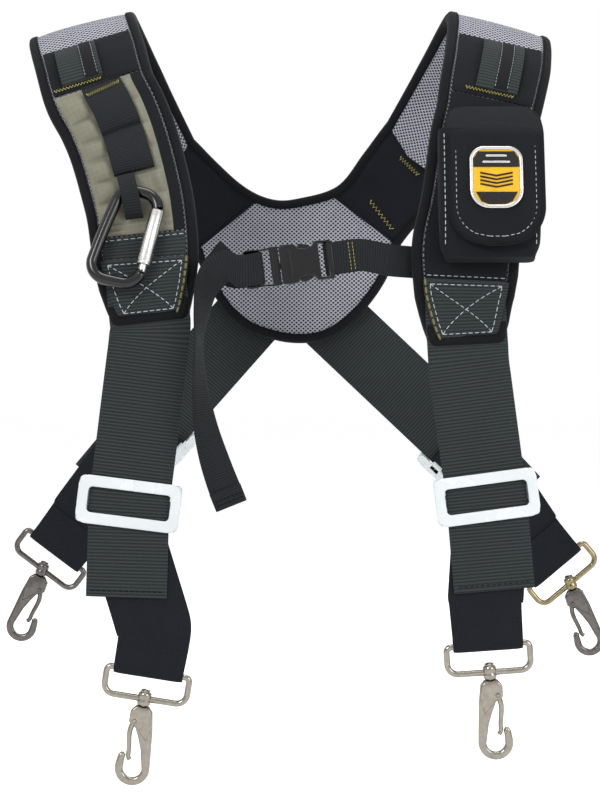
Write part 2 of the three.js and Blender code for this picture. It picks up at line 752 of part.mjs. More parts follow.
/** The elastic: folded over the slider's bar, down behind the tail, round the ring. */
function elasticGeometry(sliderPlace, ringPlace) {
  const barTop = SLIDER_BAR / 2;
  const inSlider = [
    [ELASTIC_MIDDLE + SEWN_GAP, -23], [ELASTIC_MIDDLE + SEWN_GAP, -14],
    [BAR_MIDDLE + BAR_WRAP, -barTop - 0.6],
  ].map(([y, z]) => new THREE.Vector3(0, y, z));
  inSlider.push(...halfTurn(BAR_MIDDLE, barTop, BAR_WRAP, 0, 180));
  inSlider.push(new THREE.Vector3(0, ELASTIC_MIDDLE, -18));
  const inRing = [new THREE.Vector3(0, -RING_WRAP, 26)];
  inRing.push(...halfTurn(0, 0, RING_WRAP, 180, 360));
  inRing.push(new THREE.Vector3(0, RING_WRAP, 3));
  inRing.push(new THREE.Vector3(0, SEWN_GAP - RING_WRAP, 16));
  inRing.push(new THREE.Vector3(0, SEWN_GAP - RING_WRAP, 24));
  const upper = inSlider.map((p) => p.applyMatrix4(sliderPlace));
  const lower = inRing.map((p) => p.applyMatrix4(ringPlace));
  const [from, to] = [upper[upper.length - 1], lower[0]];
  const reach = from.distanceTo(to) / 8;
  const down = new THREE.Vector3(0, 0, -1);
  const bend = new THREE.CubicBezierCurve3(
    from,
    from.clone().addScaledVector(down.clone().transformDirection(sliderPlace), reach),
    to.clone().addScaledVector(down.clone().transformDirection(ringPlace), -reach),
    to,
  ).getPoints(6).slice(1, -1);
  const points = [...upper, ...bend, ...lower];
  const acrossTop = new THREE.Vector3(1, 0, 0).transformDirection(sliderPlace);
  const acrossRing = new THREE.Vector3(1, 0, 0).transformDirection(ringPlace);
  const frames = framesThrough(points, (_, i) => {
    const way = THREE.MathUtils.clamp((i - upper.length + 1) / (bend.length + 1), 0, 1);
    return acrossTop.clone().lerp(acrossRing, way);
  });
  frames.forEach((frame, i) => {
    const inFold = i > upper.length + bend.length - 1;
    frame.width = inFold ? RING_FOLD_WIDTH : ELASTIC_WIDTH;
  });
  return ribbon(frames, { low: -HALF_ELASTIC, high: HALF_ELASTIC });
}

/** The ribbed webbing: sewn at its root, then straight down to its free tail. */
function webbingGeometry({ name, face, start, slider }) {
  const y = STRAP_PLANE[face];
  const toSlider = new THREE.Vector2(slider[0] - start[0], slider[1] - start[1]);
  const run = toSlider.length() + FREE_TAIL;
  const along = toSlider.normalize();
  const across = new THREE.Vector3(-along.y, 0, along.x).multiplyScalar(Math.sign(-along.y));
  const straight = [0, 0.35, 0.7, 1].map((way) => (
    new THREE.Vector3(start[0] + along.x * run * way, y, start[1] + along.y * run * way)
  ));
  const half = HALF_WEBBING;
  if (face === 'back') {
    const backFrames = framesThrough(straight, () => across);
    backFrames.forEach((frame) => {
      frame.width = WEBBING_WIDTH;
    });
    return ribbon(backFrames, { low: -half, high: half });
  }
  const pad = PADS[name.replace('front_', '')];
  const sewn = pad.frames(pad.beforeEnd(PATCH_LENGTH + 3), 1, { width: WEBBING_WIDTH });
  sewn.forEach((frame) => {
    frame.p.addScaledVector(frame.n, STRAP_LOW + half);
  });
  const lower = framesThrough(straight, () => across);
  lower.forEach((frame) => {
    frame.width = WEBBING_WIDTH;
  });
  return ribbon([...sewn, ...lower], { low: -half, high: half });
}

for (const strap of STRAPS) {
  const { name, face, start, slider, ring, ringLean, hookLean, gate } = strap;
  const inward = face === 'front' ? 1 : -1;
  const y = STRAP_PLANE[face];
  const lean = Math.atan2(start[0] - slider[0], start[1] - slider[1]);
  const sliderPlace = placement(slider[0], y, slider[1], face, THREE.MathUtils.radToDeg(lean));
  const ringPlace = placement(ring[0], y + inward * RING_PLANE, ring[1], face, ringLean);
  const bossCentre = new THREE.Vector3(0, 0, -RING_DROP).applyMatrix4(ringPlace);
  const hookPlace = placement(bossCentre.x, bossCentre.y, bossCentre.z, face, hookLean);
  const gateSide = face === 'front' ? gate : -gate;
  if (gateSide < 0) {
    hookPlace.multiply(new THREE.Matrix4().makeRotationZ(Math.PI));
  }
  const bossPlace = ringPlace.clone().invert().multiply(hookPlace);
  const place = (mesh, matrix) => mesh.applyMatrix4(matrix);
  piece(`${name}_webbing`, webbingGeometry(strap), RIBBED_WEBBING);
  piece(`${name}_elastic`, elasticGeometry(sliderPlace, ringPlace), DARK_ELASTIC);
  place(piece(`${name}_slider`, sliderGeometry(), CLEAR_PLASTIC), sliderPlace);
  place(piece(`${name}_ring`, ringGeometry(bossPlace), NICKEL), ringPlace);
  place(piece(`${name}_hook`, hookGeometry(), NICKEL), hookPlace);
  place(piece(`${name}_gate`, gateGeometry(), NICKEL), hookPlace);
  if (face === 'front') {
    const pad = PADS[name.replace('front_', '')];
    const t0 = pad.beforeEnd(PATCH_LENGTH);
    const frames = pad.frames(t0, pad.beforeEnd(1), { width: WEBBING_WIDTH - 2 });
    const patch = ribbon(frames, { low: PATCH_LOW, high: PATCH_HIGH });
    piece(`${name.replace('front_', '')}_anchor_patch`, patch, RIBBED_WEBBING);
  }
}

// ------------------------------------------------------ sternum strap and buckle

const HALF_CHEST = CHEST_THICKNESS / 2;
const BUCKLE_PLACE = new THREE.Matrix4()
  .makeTranslation(-12, -88, -158.4)
  .multiply(new THREE.Matrix4().makeRotationY(THREE.MathUtils.degToRad(-7.6)));
const BUCKLE_UP = new THREE.Vector3(0, 0, 1).transformDirection(BUCKLE_PLACE);
const CAVITY_HEIGHT = BUCKLE_WIDTH - 2 * BUCKLE_WALL;
const CAVITY_THICKNESS = 5.4;
const CAVITY_DEPTH = 23;
const WINDOW = [11, 20.5];
const END_BAR = 3.5;
const END_BAR_X = FEMALE_LENGTH - END_BAR / 2;
const END_WRAP = (END_BAR / 2) * Math.SQRT2 + GAP + HALF_CHEST;
const LADDER_BAR_RADIUS = 2;
const LADDER_BAR_X = -14;
const LADDER_WRAP = LADDER_BAR_RADIUS + GAP + HALF_CHEST;
const SLOT_HALF = CHEST_WIDTH / 2 + 0.6;

/** The socket half of the buckle, its mouth at x = 0. */
function femaleGeometry() {
  const z = CAVITY_HEIGHT / 2;
  const y = CAVITY_THICKNESS / 2;
  const outline = roundedRectangle(FEMALE_LENGTH, BUCKLE_WIDTH, 4);
  const shell = plate(outline, BUCKLE_THICKNESS, 1).translate(FEMALE_LENGTH / 2, 0, 0);
  const slotStart = CAVITY_DEPTH + 1.6;
  const barStart = FEMALE_LENGTH - END_BAR;
  return combine([shell], [
    block(-1, CAVITY_DEPTH, -y, y, -z, z),
    block(WINDOW[0], WINDOW[1], -y, y, -BUCKLE_WIDTH, BUCKLE_WIDTH),
    block(slotStart, barStart, -BUCKLE_THICKNESS, BUCKLE_THICKNESS, -SLOT_HALF, SLOT_HALF),
    block(slotStart, FEMALE_LENGTH + 1, END_BAR / 2, BUCKLE_THICKNESS, -SLOT_HALF, SLOT_HALF),
    block(slotStart, FEMALE_LENGTH + 1, -BUCKLE_THICKNESS, -END_BAR / 2, -SLOT_HALF, SLOT_HALF),
  ]);
}

/** The plug half: a ladder lock for the strap and the guide tongue. */
function maleGeometry() {
  const outline = roundedRectangle(MALE_LENGTH - GAP, BUCKLE_WIDTH, 3);
  const frame = plate(outline, 4, 0.6).translate(-(MALE_LENGTH + GAP) / 2, 0, 0);
  const bar = post(LADDER_BAR_RADIUS, -SLOT_HALF - 1, SLOT_HALF + 1, 8).translate(LADDER_BAR_X, 0, 0);
  const opened = combine([frame], [block(-MALE_LENGTH + 3, -6, -5, 5, -SLOT_HALF, SLOT_HALF)]);
  return combine([opened, bar, block(-2, 19, -1.6, 1.6, -2, 2)]);
}

/** One of the two spring arms, with the catch that stands in the socket's window. */
function prongGeometry(sign) {
  const catchX = WINDOW[0] + 0.5;
  const wall = CAVITY_HEIGHT / 2;
  const points = [
    [GAP, 6], [GAP, 8.8], [catchX, wall - 0.6], [catchX, wall + 1.6], [catchX + 2.5, wall + 1.6],
    [WINDOW[1] - 0.6, wall - 1.2], [WINDOW[1] + 0.6, 7.5], [WINDOW[1] - 0.4, 6],
  ];
  const outline = points.map(([x, z]) => new THREE.Vector2(x, sign * z));
  return plate(new THREE.Shape(outline), 4.2);
}

/** The webbing from the right pad, round the socket's end bar and sewn back. */
function chestStrapRight() {
  const wrap = END_WRAP;
  const turn = Array.from({ length: 7 }, (_, i) => {
    const angle = -Math.PI / 2 - (Math.PI * i) / 6;
    return new THREE.Vector3(END_BAR_X + wrap * Math.cos(angle), wrap * Math.sin(angle), 0);
  });
  const local = [
    new THREE.Vector3(END_BAR_X + 18, -wrap, 0),
    ...turn,
    new THREE.Vector3(END_BAR_X + 10, -wrap + CHEST_THICKNESS + GAP, 0),
    new THREE.Vector3(END_BAR_X + 20, -wrap + CHEST_THICKNESS + GAP, 0),
  ].map((p) => p.applyMatrix4(BUCKLE_PLACE));
  const points = [new THREE.Vector3(67, -82, -155.5), new THREE.Vector3(56, -88, -155), ...local];
  const frames = framesThrough(points, () => BUCKLE_UP);
  return ribbon(frames, { width: CHEST_WIDTH, low: -HALF_CHEST, high: HALF_CHEST });
}

/** The webbing from the left pad, round the ladder bar, and its long free tail. */
function chestStrapLeft() {
  const wrap = LADDER_WRAP;
  const turn = Array.from({ length: 7 }, (_, i) => {
    const angle = Math.PI / 2 - (Math.PI * i) / 6;
    return new THREE.Vector3(LADDER_BAR_X + wrap * Math.cos(angle), wrap * Math.sin(angle), 0);
  });
  const local = [
    new THREE.Vector3(-MALE_LENGTH - 5, wrap, 0),
    ...turn,
    new THREE.Vector3(-MALE_LENGTH - 2, -wrap, 0),
  ].map((p) => p.applyMatrix4(BUCKLE_PLACE));
  const tail = TAIL_ROUTE.map(([x, y, z]) => new THREE.Vector3(x, y, z));
  const points = [new THREE.Vector3(-56, -84, -150), ...local, ...tail];
  const tailStart = points.length - tail.length;
  const frames = framesThrough(points, (_, i) => (
    i < tailStart ? BUCKLE_UP : new THREE.Vector3(...TAIL_ACROSS[i - tailStart])
  ));
  return ribbon(frames, { width: CHEST_WIDTH, low: -HALF_CHEST, high: HALF_CHEST });
}

const TAIL_ROUTE = [
  [-46, -93.5, -159], [-53, -96.5, -164], [-58, -99, -173], [-60.5, -101.5, -187],
  [-62, -103, -204], [-62, -104, -222], [-60.5, -104.5, -241], [-57.5, -104.5, -260],
  [-53, -104, -277], [-47.5, -103.5, -293], [-42, -103, -307],
];
const TAIL_ACROSS = [
  [-0.25, 0, 0.97], [-0.6, -0.3, 0.75], [-0.6, -0.7, 0.3], [-0.45, -0.9, 0],
  [-0.2, -1, 0], [-0.3, -1, 0], [-0.5, -0.9, 0], [-0.7, -0.7, -0.1],
  [-0.85, -0.5, -0.15], [-0.9, -0.3, -0.2], [-0.93, -0.1, -0.3],
];

const male = piece('buckle_male', maleGeometry(), BLACK_PLASTIC);
const female = piece('buckle_female', femaleGeometry(), BLACK_PLASTIC);
const prongUpper = piece('buckle_prong_upper', prongGeometry(1), BLACK_PLASTIC);
const prongLower = piece('buckle_prong_lower', prongGeometry(-1), BLACK_PLASTIC);
[male, female, prongUpper, prongLower].forEach((mesh) => mesh.applyMatrix4(BUCKLE_PLACE));
piece('chest_strap_right', chestStrapRight(), RIBBED_WEBBING);
piece('chest_strap_left', chestStrapLeft(), RIBBED_WEBBING);

// --------------------------------------------------------------------- phone pouch

const POUCH_LEAN = THREE.MathUtils.degToRad(-12.2);
const pouch = new THREE.Group();
pouch.position.set(120.5, -93.2, -157);
pouch.rotation.x = POUCH_LEAN;
braces.add(pouch);

/** The pouch shell, open at the top; its back lies on y = 0. */
function pouchGeometry() {
  const x = POUCH_WIDTH / 2;
  const outline = roundedRectangle(POUCH_WIDTH, POUCH_HEIGHT, POUCH_CORNER);
  const body = plate(outline, POUCH_DEPTH, 1.5).translate(0, -POUCH_DEPTH / 2, POUCH_HEIGHT / 2);
  const wall = POUCH_WALL;
  const cavity = block(-x + wall, x - wall, wall - POUCH_DEPTH, -wall, wall, POUCH_HEIGHT + 1);
  const mouth = POUCH_HEIGHT - POUCH_MOUTH_DROP;
  const level = block(-x - 1, x + 1, -POUCH_DEPTH - 1, 1, mouth, POUCH_HEIGHT + 1);
  return combine([body], [cavity, level]);
}

const FLAP_THICKNESS = 1.6;
const FLAP_TOP = POUCH_HEIGHT - POUCH_MOUTH_DROP + GAP;
const FLAP_FRONT = -POUCH_DEPTH - GAP - FLAP_THICKNESS;

/** The flap over the pouch's mouth, rounded at its lower corners. */
function flapGeometry() {
  const width = POUCH_WIDTH + 2 * FLAP_OVERHANG;
  const outline = roundedRectangle(width, FLAP_DROP + 4, FLAP_CORNER);
  const front = plate(outline, FLAP_THICKNESS, 0.4);
  const top = FLAP_TOP + FLAP_THICKNESS;
  front.translate(0, FLAP_FRONT + FLAP_THICKNESS / 2, top - (FLAP_DROP + 4) / 2);
  const x = width / 2;
  return combine([
    front,
    block(-x, x, FLAP_FRONT, FLAP_FRONT + FLAP_THICKNESS, top - FLAP_CORNER - 4, top),
    block(-x, x, FLAP_FRONT, -GAP, FLAP_TOP, top),
  ]);
}

/** A plain raised badge with a rim. */
function badgeGeometry() {
  const outline = roundedRectangle(BADGE_WIDTH, BADGE_HEIGHT, BADGE_CORNER);
  const recess = roundedRectangle(
    BADGE_WIDTH - 2 * BADGE_RIM,
    BADGE_HEIGHT - 2 * BADGE_RIM,
    BADGE_CORNER - BADGE_RIM + 0.5,
  );
  const raised = plate(outline, BADGE_THICKNESS, 0.5);
  const well = plate(recess, BADGE_THICKNESS).translate(0, -BADGE_THICKNESS + BADGE_RECESS, 0);
  const centre = FLAP_TOP - FLAP_DROP / 2 - 3;
  return combine([raised], [well])
    .translate(0, FLAP_FRONT - GAP - BADGE_THICKNESS / 2, centre);
}

piece('phone_pouch', pouchGeometry(), BLACK_CLOTH, pouch);
piece('pouch_flap', flapGeometry(), BLACK_CLOTH, pouch);
piece('pouch_badge', badgeGeometry(), YELLOW_RUBBER, pouch);

// ----------------------------------------------------------------------- carabiner

const hang = PADS.left.frame(PADS.left.at(CARABINER_HANG), 0, 2);
const carabiner = new THREE.Group();
carabiner.position.copy(hang.p)
  .addScaledVector(hang.n, RIPSTOP_HIGH + CARABINER_BAR / 2 + CARABINER_CLEARANCE);
carabiner.rotation.set(THREE.MathUtils.degToRad(-13), THREE.MathUtils.degToRad(13), 0);
braces.add(carabiner);

const LINE_HALF_WIDTH = (CARABINER_WIDTH - CARABINER_BAR) / 2;
const LINE_HEIGHT = CARABINER_HEIGHT - CARABINER_BAR;
const CARABINER_CORNER = 8;
const GATE_TOP = -CARABINER_CORNER - 0.2;
const GATE_BOTTOM = -LINE_HEIGHT + CARABINER_CORNER + 0.2;

/** The C-shaped body about its hanging point: x towards the gate. */
function carabinerBody() {
  const w = LINE_HALF_WIDTH;
  const h = LINE_HEIGHT;
  const r = CARABINER_CORNER;
  const line = new THREE.Path();
  line.moveTo(w, GATE_TOP);
  line.lineTo(w, -r);
  line.absarc(w - r, -r, r, 0, Math.PI / 2);
  line.lineTo(-w + r, 0);
  line.absarc(-w + r, -r, r, Math.PI / 2, Math.PI);
  line.lineTo(-w, -h + r);
  line.absarc(-w + r, -h + r, r, Math.PI, 1.5 * Math.PI);
  line.lineTo(w - r, -h);
  line.absarc(w - r, -h + r, r, 1.5 * Math.PI, 2 * Math.PI);
  line.lineTo(w, GATE_BOTTOM);
  return plate(barOutline(line.getPoints(6), () => CARABINER_BAR), CARABINER_BAR, 1.2);
}

/** An upright tube round the gate rod. */
function sleeveGeometry() {
  const inner = GATE_ROD_RADIUS + GAP;
  const top = GATE_TOP - GAP - 1;
  const tube = combine(
    [post(inner + SLEEVE_WALL, top - SLEEVE_LENGTH, top, 16)],
    [post(inner, top - SLEEVE_LENGTH - 1, top + 1, 16)],
  );
  return tube.translate(LINE_HALF_WIDTH, 0, 0);
}

const gateRod = post(GATE_ROD_RADIUS, GATE_BOTTOM + GATE_HINGE_GAP, GATE_TOP - GAP, 12);
piece('carabiner_body', carabinerBody(), BLACK_ANODISED, carabiner);
piece('carabiner_gate', gateRod.translate(LINE_HALF_WIDTH, 0, 0), BLACK_ANODISED, carabiner);
piece('carabiner_sleeve', sleeveGeometry(), BRUSHED_ALUMINIUM, carabiner);

export default braces;
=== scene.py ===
"""Padded tool-belt braces: pads, mesh yoke, four strap-and-hook sets, sternum strap, pouch and carabiner.

Every size is in millimetres and is turned into metres where a mesh is made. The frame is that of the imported
CAD model: +Z up, the front of the wearer faces -Y, and the origin lies midway between the inner faces of the
pad crests.
"""
import logging
import math
from dataclasses import dataclass, field
from enum import Enum
from typing import Callable, Sequence

import bmesh
import bpy
from mathutils import Matrix, Vector, noise


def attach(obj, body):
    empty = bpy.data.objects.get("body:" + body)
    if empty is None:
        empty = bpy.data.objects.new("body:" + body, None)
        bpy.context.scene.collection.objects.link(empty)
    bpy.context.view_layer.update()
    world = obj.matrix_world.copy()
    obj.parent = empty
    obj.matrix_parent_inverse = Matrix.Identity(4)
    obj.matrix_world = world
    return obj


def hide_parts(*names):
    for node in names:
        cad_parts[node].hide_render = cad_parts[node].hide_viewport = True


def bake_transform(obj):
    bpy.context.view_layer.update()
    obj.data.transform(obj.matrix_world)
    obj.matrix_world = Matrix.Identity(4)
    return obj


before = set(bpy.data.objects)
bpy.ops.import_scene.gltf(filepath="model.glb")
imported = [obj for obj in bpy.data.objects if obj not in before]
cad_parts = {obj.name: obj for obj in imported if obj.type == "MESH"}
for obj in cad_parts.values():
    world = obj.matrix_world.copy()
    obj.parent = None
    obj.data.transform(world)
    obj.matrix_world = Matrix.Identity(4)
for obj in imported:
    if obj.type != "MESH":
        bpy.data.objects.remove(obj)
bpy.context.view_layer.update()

LOG = logging.getLogger("braces")
MM = 0.001
GAP = 0.3
Ring = list[Vector]
Outline = list[tuple[float, float]]


# ---- named choices ----


class Side(Enum):
    """A side of the braces as seen from the front."""

    LEFT = -1
    RIGHT = 1


class Face(Enum):
    """Whether a strap hangs in front of the wearer or behind."""

    FRONT = 1
    BACK = -1


# ---- mesh building ----


def smoothstep(low: float, high: float, value: float) -> float:
    """Return 0 below low, 1 above high and a smooth ramp between."""
    x = min(1.0, max(0.0, (value - low) / (high - low)))
    return x * x * (3 - 2 * x)


def lumps(p: Vector, size: float, seed: float = 0.0) -> float:
    """Return smooth noise in -1 to 1.

    Args:
        p: The place, in millimetres.
        size: The width of one lump, in millimetres.
        seed: Shifts the pattern so that pieces differ.

    Returns:
        The height of the lump at p.
    """
    return noise.noise(p / size + Vector((seed, 2 * seed, -seed)))


class MeshMaker:
    """Collects vertices and faces in millimetres, with a UV in millimetres for each face corner."""

    def __init__(self) -> None:
        """Start empty."""
        self.points: list[Vector] = []
        self.faces: list[tuple[int, ...]] = []
        self.uvs: list[list[tuple[float, float]]] = []

    def loft(self, rings: Sequence[Ring], across: Sequence[float], along: Sequence[float]) -> None:
        """Add a closed tube through rings of equal count, with both ends capped.

        Args:
            rings: The sections, each a closed loop of points.
            across: The u coordinate of each point of a ring.
            along: The v coordinate of each ring.
        """
        base = len(self.points)
        count = len(rings[0])
        for ring in rings:
            self.points.extend(ring)
        for i in range(len(rings) - 1):
            for j in range(count):
                k = (j + 1) % count
                a = base + i * count
                self.faces.append((a + j, a + k, a + count + k, a + count + j))
                u1 = across[k]
                self.uvs.append([(across[j], along[i]), (u1, along[i]), (u1, along[i + 1]),
                                 (across[j], along[i + 1])])
        for i, order in ((0, -1), (len(rings) - 1, 1)):
            loop = [base + i * count + j for j in range(count)][::order]
            self.faces.append(tuple(loop))
            self.uvs.append([(across[(v - base) % count], along[i]) for v in loop])

    def torus(self, rings: Sequence[Ring]) -> None:
        """Add a tube whose last ring joins its first.

        Args:
            rings: The sections, each a closed loop of points.
        """
        base = len(self.points)
        count = len(rings[0])
        total = len(rings)
        for ring in rings:
            self.points.extend(ring)
        for i in range(total):
            for j in range(count):
                k = (j + 1) % count
                a = base + i * count
                b = base + ((i + 1) % total) * count
                self.faces.append((a + j, a + k, b + k, b + j))
                self.uvs.append([(j, i), (j + 1, i), (j + 1, i + 1), (j, i + 1)])

    def mesh(self, name: str, laid_out: bool = True) -> bpy.types.Mesh:
        """Return the mesh, in metres.

        Args:
            name: The mesh's name.
            laid_out: Whether it carries the UV layer that the weaves follow.

        Returns:
            The new mesh.
        """
        mesh = bpy.data.meshes.new(name)
        mesh.from_pydata([tuple(p * MM) for p in self.points], [], self.faces)
        if laid_out:
            corners = [uv for face in self.uvs for uv in face]
            for corner, (u, v) in zip(mesh.uv_layers.new(name="cloth").data, corners):
                corner.uv = (u * MM, v * MM)
        return mesh

    def build(self, name: str, material: bpy.types.Material, sharp: float = 45.0) -> bpy.types.Object:
        """Make the object, in metres, with smooth shading and outward faces.

        Args:
            name: The piece's name.
            material: Its one material.
            sharp: Edges sharper than this many degrees stay sharp.

        Returns:
            The new object, linked to the scene.
        """
        mesh = self.mesh(name)
        mesh.materials.append(material)
        return finish_object(name, mesh, sharp)


def finish_object(name: str, mesh: bpy.types.Mesh, sharp: float = 45.0) -> bpy.types.Object:
    """Turn the faces outward, shade the mesh and link an object for it.

    Args:
        name: The object's name.
        mesh: The mesh, in metres.
        sharp: Edges sharper than this many degrees stay sharp.

    Returns:
        The new object.
    """
    work = bmesh.new()
    work.from_mesh(mesh)
    bmesh.ops.remove_doubles(work, verts=work.verts, dist=1e-6)
    bmesh.ops.recalc_face_normals(work, faces=work.faces)
    work.to_mesh(mesh)
    work.free()
    mesh.shade_smooth()
    mesh.set_sharp_from_angle(angle=math.radians(sharp))
    item = bpy.data.objects.new(name, mesh)
    bpy.context.scene.collection.objects.link(item)
    return item


@dataclass
class Frame:
    """A place on a band: a point, a direction across it and a normal, all in millimetres."""

    p: Vector
    a: Vector
    n: Vector
    width: float = 0.0
    along: Vector = field(default_factory=Vector)
    run: float = 0.0

    def at(self, x: float, lift: float) -> Vector:
        """Return the point x across the band and lift above it."""
        return self.p + self.a * x + self.n * lift


def with_runs(frames: list[Frame]) -> list[Frame]:
    """Set each frame's distance along the band, and return the list.

    Args:
        frames: Frames along one strip, from its start.

    Returns:
        The same frames with their distances filled in.
    """
    run = 0.0
    for i, here in enumerate(frames):
        if i:
            run += (here.p - frames[i - 1].p).length
        here.run = run
    return frames


def frames_through(points: Sequence[Vector], across: Sequence[Vector], width: float) -> list[Frame]:
    """Make frames along points.

    Args:
        points: The middle line.
        across: The direction across the band at each point.
        width: The band's width.

    Returns:
        Frames whose across direction is square to the line.
    """
    frames = []
    for i, p in enumerate(points):
        step = points[min(i + 1, len(points) - 1)] - points[max(i - 1, 0)]
        along = step.normalized()
        a = across[i] - along * across[i].dot(along)
        a.normalize()
        frames.append(Frame(p.copy(), a, along.cross(a), width, along))
    return with_runs(frames)


def refine(frames: list[Frame], step: float) -> list[Frame]:
    """Resample frames at an even step with a smooth middle line.

    Args:
        frames: Frames at uneven distances.
        step: The new distance between frames.

    Returns:
        More frames on a smooth curve through the old points.
    """
    curve = Spline([f.p for f in frames])
    count = max(2, round(frames[-1].run / step))
    result = []
    index = 0
    for i in range(count + 1):
        run = frames[-1].run * i / count
        while index < len(frames) - 2 and frames[index + 1].run < run:
            index += 1
        here, after = frames[index], frames[index + 1]
        way = (run - here.run) / max(after.run - here.run, 1e-6)
        p = curve.segment(index, way)
        a = here.a.lerp(after.a, way).normalized()
        n = here.n.lerp(after.n, way).normalized()
        result.append(Frame(p, a, n, here.width + (after.width - here.width) * way, here.along, run))
    return result


class Spline:
    """A centripetal Catmull-Rom curve, the same curve as the CAD model's."""

    def __init__(self, points: Sequence[Vector]) -> None:
        """Keep the points that the curve passes through."""
        self.points = [Vector(p) for p in points]

    def segment(self, index: int, way: float) -> Vector:
        """Return the point part of the way from one control point to the next.

        Args:
            index: Which span of the curve.
            way: How far along the span, from 0 to 1.

        Returns:
            The point.
        """
        pts = self.points
        p1, p2 = pts[index], pts[index + 1]
        p0 = pts[index - 1] if index > 0 else p1 * 2 - p2
        p3 = pts[index + 2] if index + 2 < len(pts) else p2 * 2 - p1
        d0, d1, d2 = ((q - p).length ** 0.5 for p, q in ((p0, p1), (p1, p2), (p2, p3)))
        d1 = d1 if d1 > 1e-4 else 1.0
        d0 = d0 if d0 > 1e-4 else d1
        d2 = d2 if d2 > 1e-4 else d1
        t1 = ((p1 - p0) / d0 - (p2 - p0) / (d0 + d1) + (p2 - p1) / d1) * d1
        t2 = ((p2 - p1) / d1 - (p3 - p1) / (d1 + d2) + (p3 - p2) / d2) * d1
        c2 = (p2 - p1) * 3 - t1 * 2 - t2
        c3 = (p1 - p2) * 2 + t1 + t2
        return p1 + t1 * way + c2 * way ** 2 + c3 * way ** 3

    def point(self, t: float) -> Vector:
        """Return the point at t from 0 to 1.

        Args:
            t: How far along the whole curve, from 0 to 1.

        Returns:
            The point.
        """
        scaled = min(max(t, 0.0), 1.0) * (len(self.points) - 1)
        index = min(int(scaled), len(self.points) - 2)
        return self.segment(index, scaled - index)

    def samples(self, count: int) -> list[Vector]:
        """Return count + 1 points along the curve."""
        return [self.point(i / count) for i in range(count + 1)]


@dataclass
class Band:
    """A flat textile: its thickness, how round its edges are, and its ribs."""

    thickness: float = 1.4
    steps: int = 10
    rib_pitch: float = 0.0
    rib_height: float = 0.0
    sag: float = 0.0
    seed: float = 1.0

    def add_to(self, maker: MeshMaker, frames: list[Frame],
               lift: Callable[[float, float], float] | None = None) -> MeshMaker:
        """Loft the band through frames.

        Args:
            maker: Where the faces go.
            frames: The middle line and widths.
            lift: An extra height for x in -1 to 1 and a run in millimetres.

        Returns:
            The same maker.
        """
        half = self.thickness / 2
        columns = [-1 + 2 * j / self.steps for j in range(self.steps + 1)]
        rings: list[Ring] = []
        for f in frames:
            rib = 0.0
            if self.rib_pitch:
                rib = self.rib_height * (0.5 - 0.5 * math.cos(2 * math.pi * f.run / self.rib_pitch))
            upper: Ring = []
            lower: Ring = []
            for x in columns:
                thin = 1 - 0.55 * abs(x) ** 14
                raised = lift(x, f.run) if lift else 0.0
                raised += self.sag * lumps(f.p + f.a * (x * f.width / 2), 26, self.seed)
                upper.append(f.at(x * f.width / 2, raised + (half + rib) * thin))
                lower.append(f.at(x * f.width / 2, raised - (half + rib) * thin))
            rings.append(upper + lower[::-1])
        width = frames[0].width or 1.0
        across = [x * width / 2 for x in columns]
        maker.loft(rings, across + across[::-1], [f.run for f in frames])
        return maker


def tube_rings(points: Sequence[Vector], radius: Callable[[float], float], sides: int = 12,
               closed: bool = False, squash: float = 1.0, flat: Vector = Vector((0, 1, 0))) -> list[Ring]:
    """Make round sections along a line that lies roughly square to flat.

    Args:
        points: The centre line.
        radius: The radius at a way from 0 to 1.
        sides: How many sides a section has.
        closed: Whether the line joins up.
        squash: The section's depth along flat over its width.
        flat: The direction square to the line's plane.

    Returns:
        The sections.
    """
    rings = []
    total = len(points)
    for i, p in enumerate(points):
        before = points[i - 1] if closed or i > 0 else p
        after = points[(i + 1) % total] if closed or i < total - 1 else p
        along = (after - before).normalized()
        out = along.cross(flat).normalized()
        r = radius(i / max(total - 1, 1))
        rings.append([
            p + out * (r * math.cos(2 * math.pi * j / sides)) + flat
            * (r * squash * math.sin(2 * math.pi * j / sides))
            for j in range(sides)
        ])
    return rings


def arc(cx: float, cz: float, radius: float, start: float, end: float, count: int = 8) -> Outline:
    """Return points on an arc, with angles in degrees."""
    angles = [math.radians(start + (end - start) * i / count) for i in range(count + 1)]
    return [(cx + radius * math.cos(a), cz + radius * math.sin(a)) for a in angles]


def rounded_rectangle(width: float, height: float, radius: float, lower: float | None = None) -> Outline:
    """Return a rounded rectangle about the origin.

    Args:
        width: Its width.
        height: Its height.
        radius: The radius of its corners.
        lower: The radius of its lower corners, where that differs.

    Returns:
        Its outline, anticlockwise from the lower left.
    """
    x, z = width / 2, height / 2
    low = radius if lower is None else lower
    return (arc(-x + low, -z + low, low, 180, 270) + arc(x - low, -z + low, low, 270, 360)
            + arc(x - radius, z - radius, radius, 0, 90) + arc(-x + radius, z - radius, radius, 90, 180))


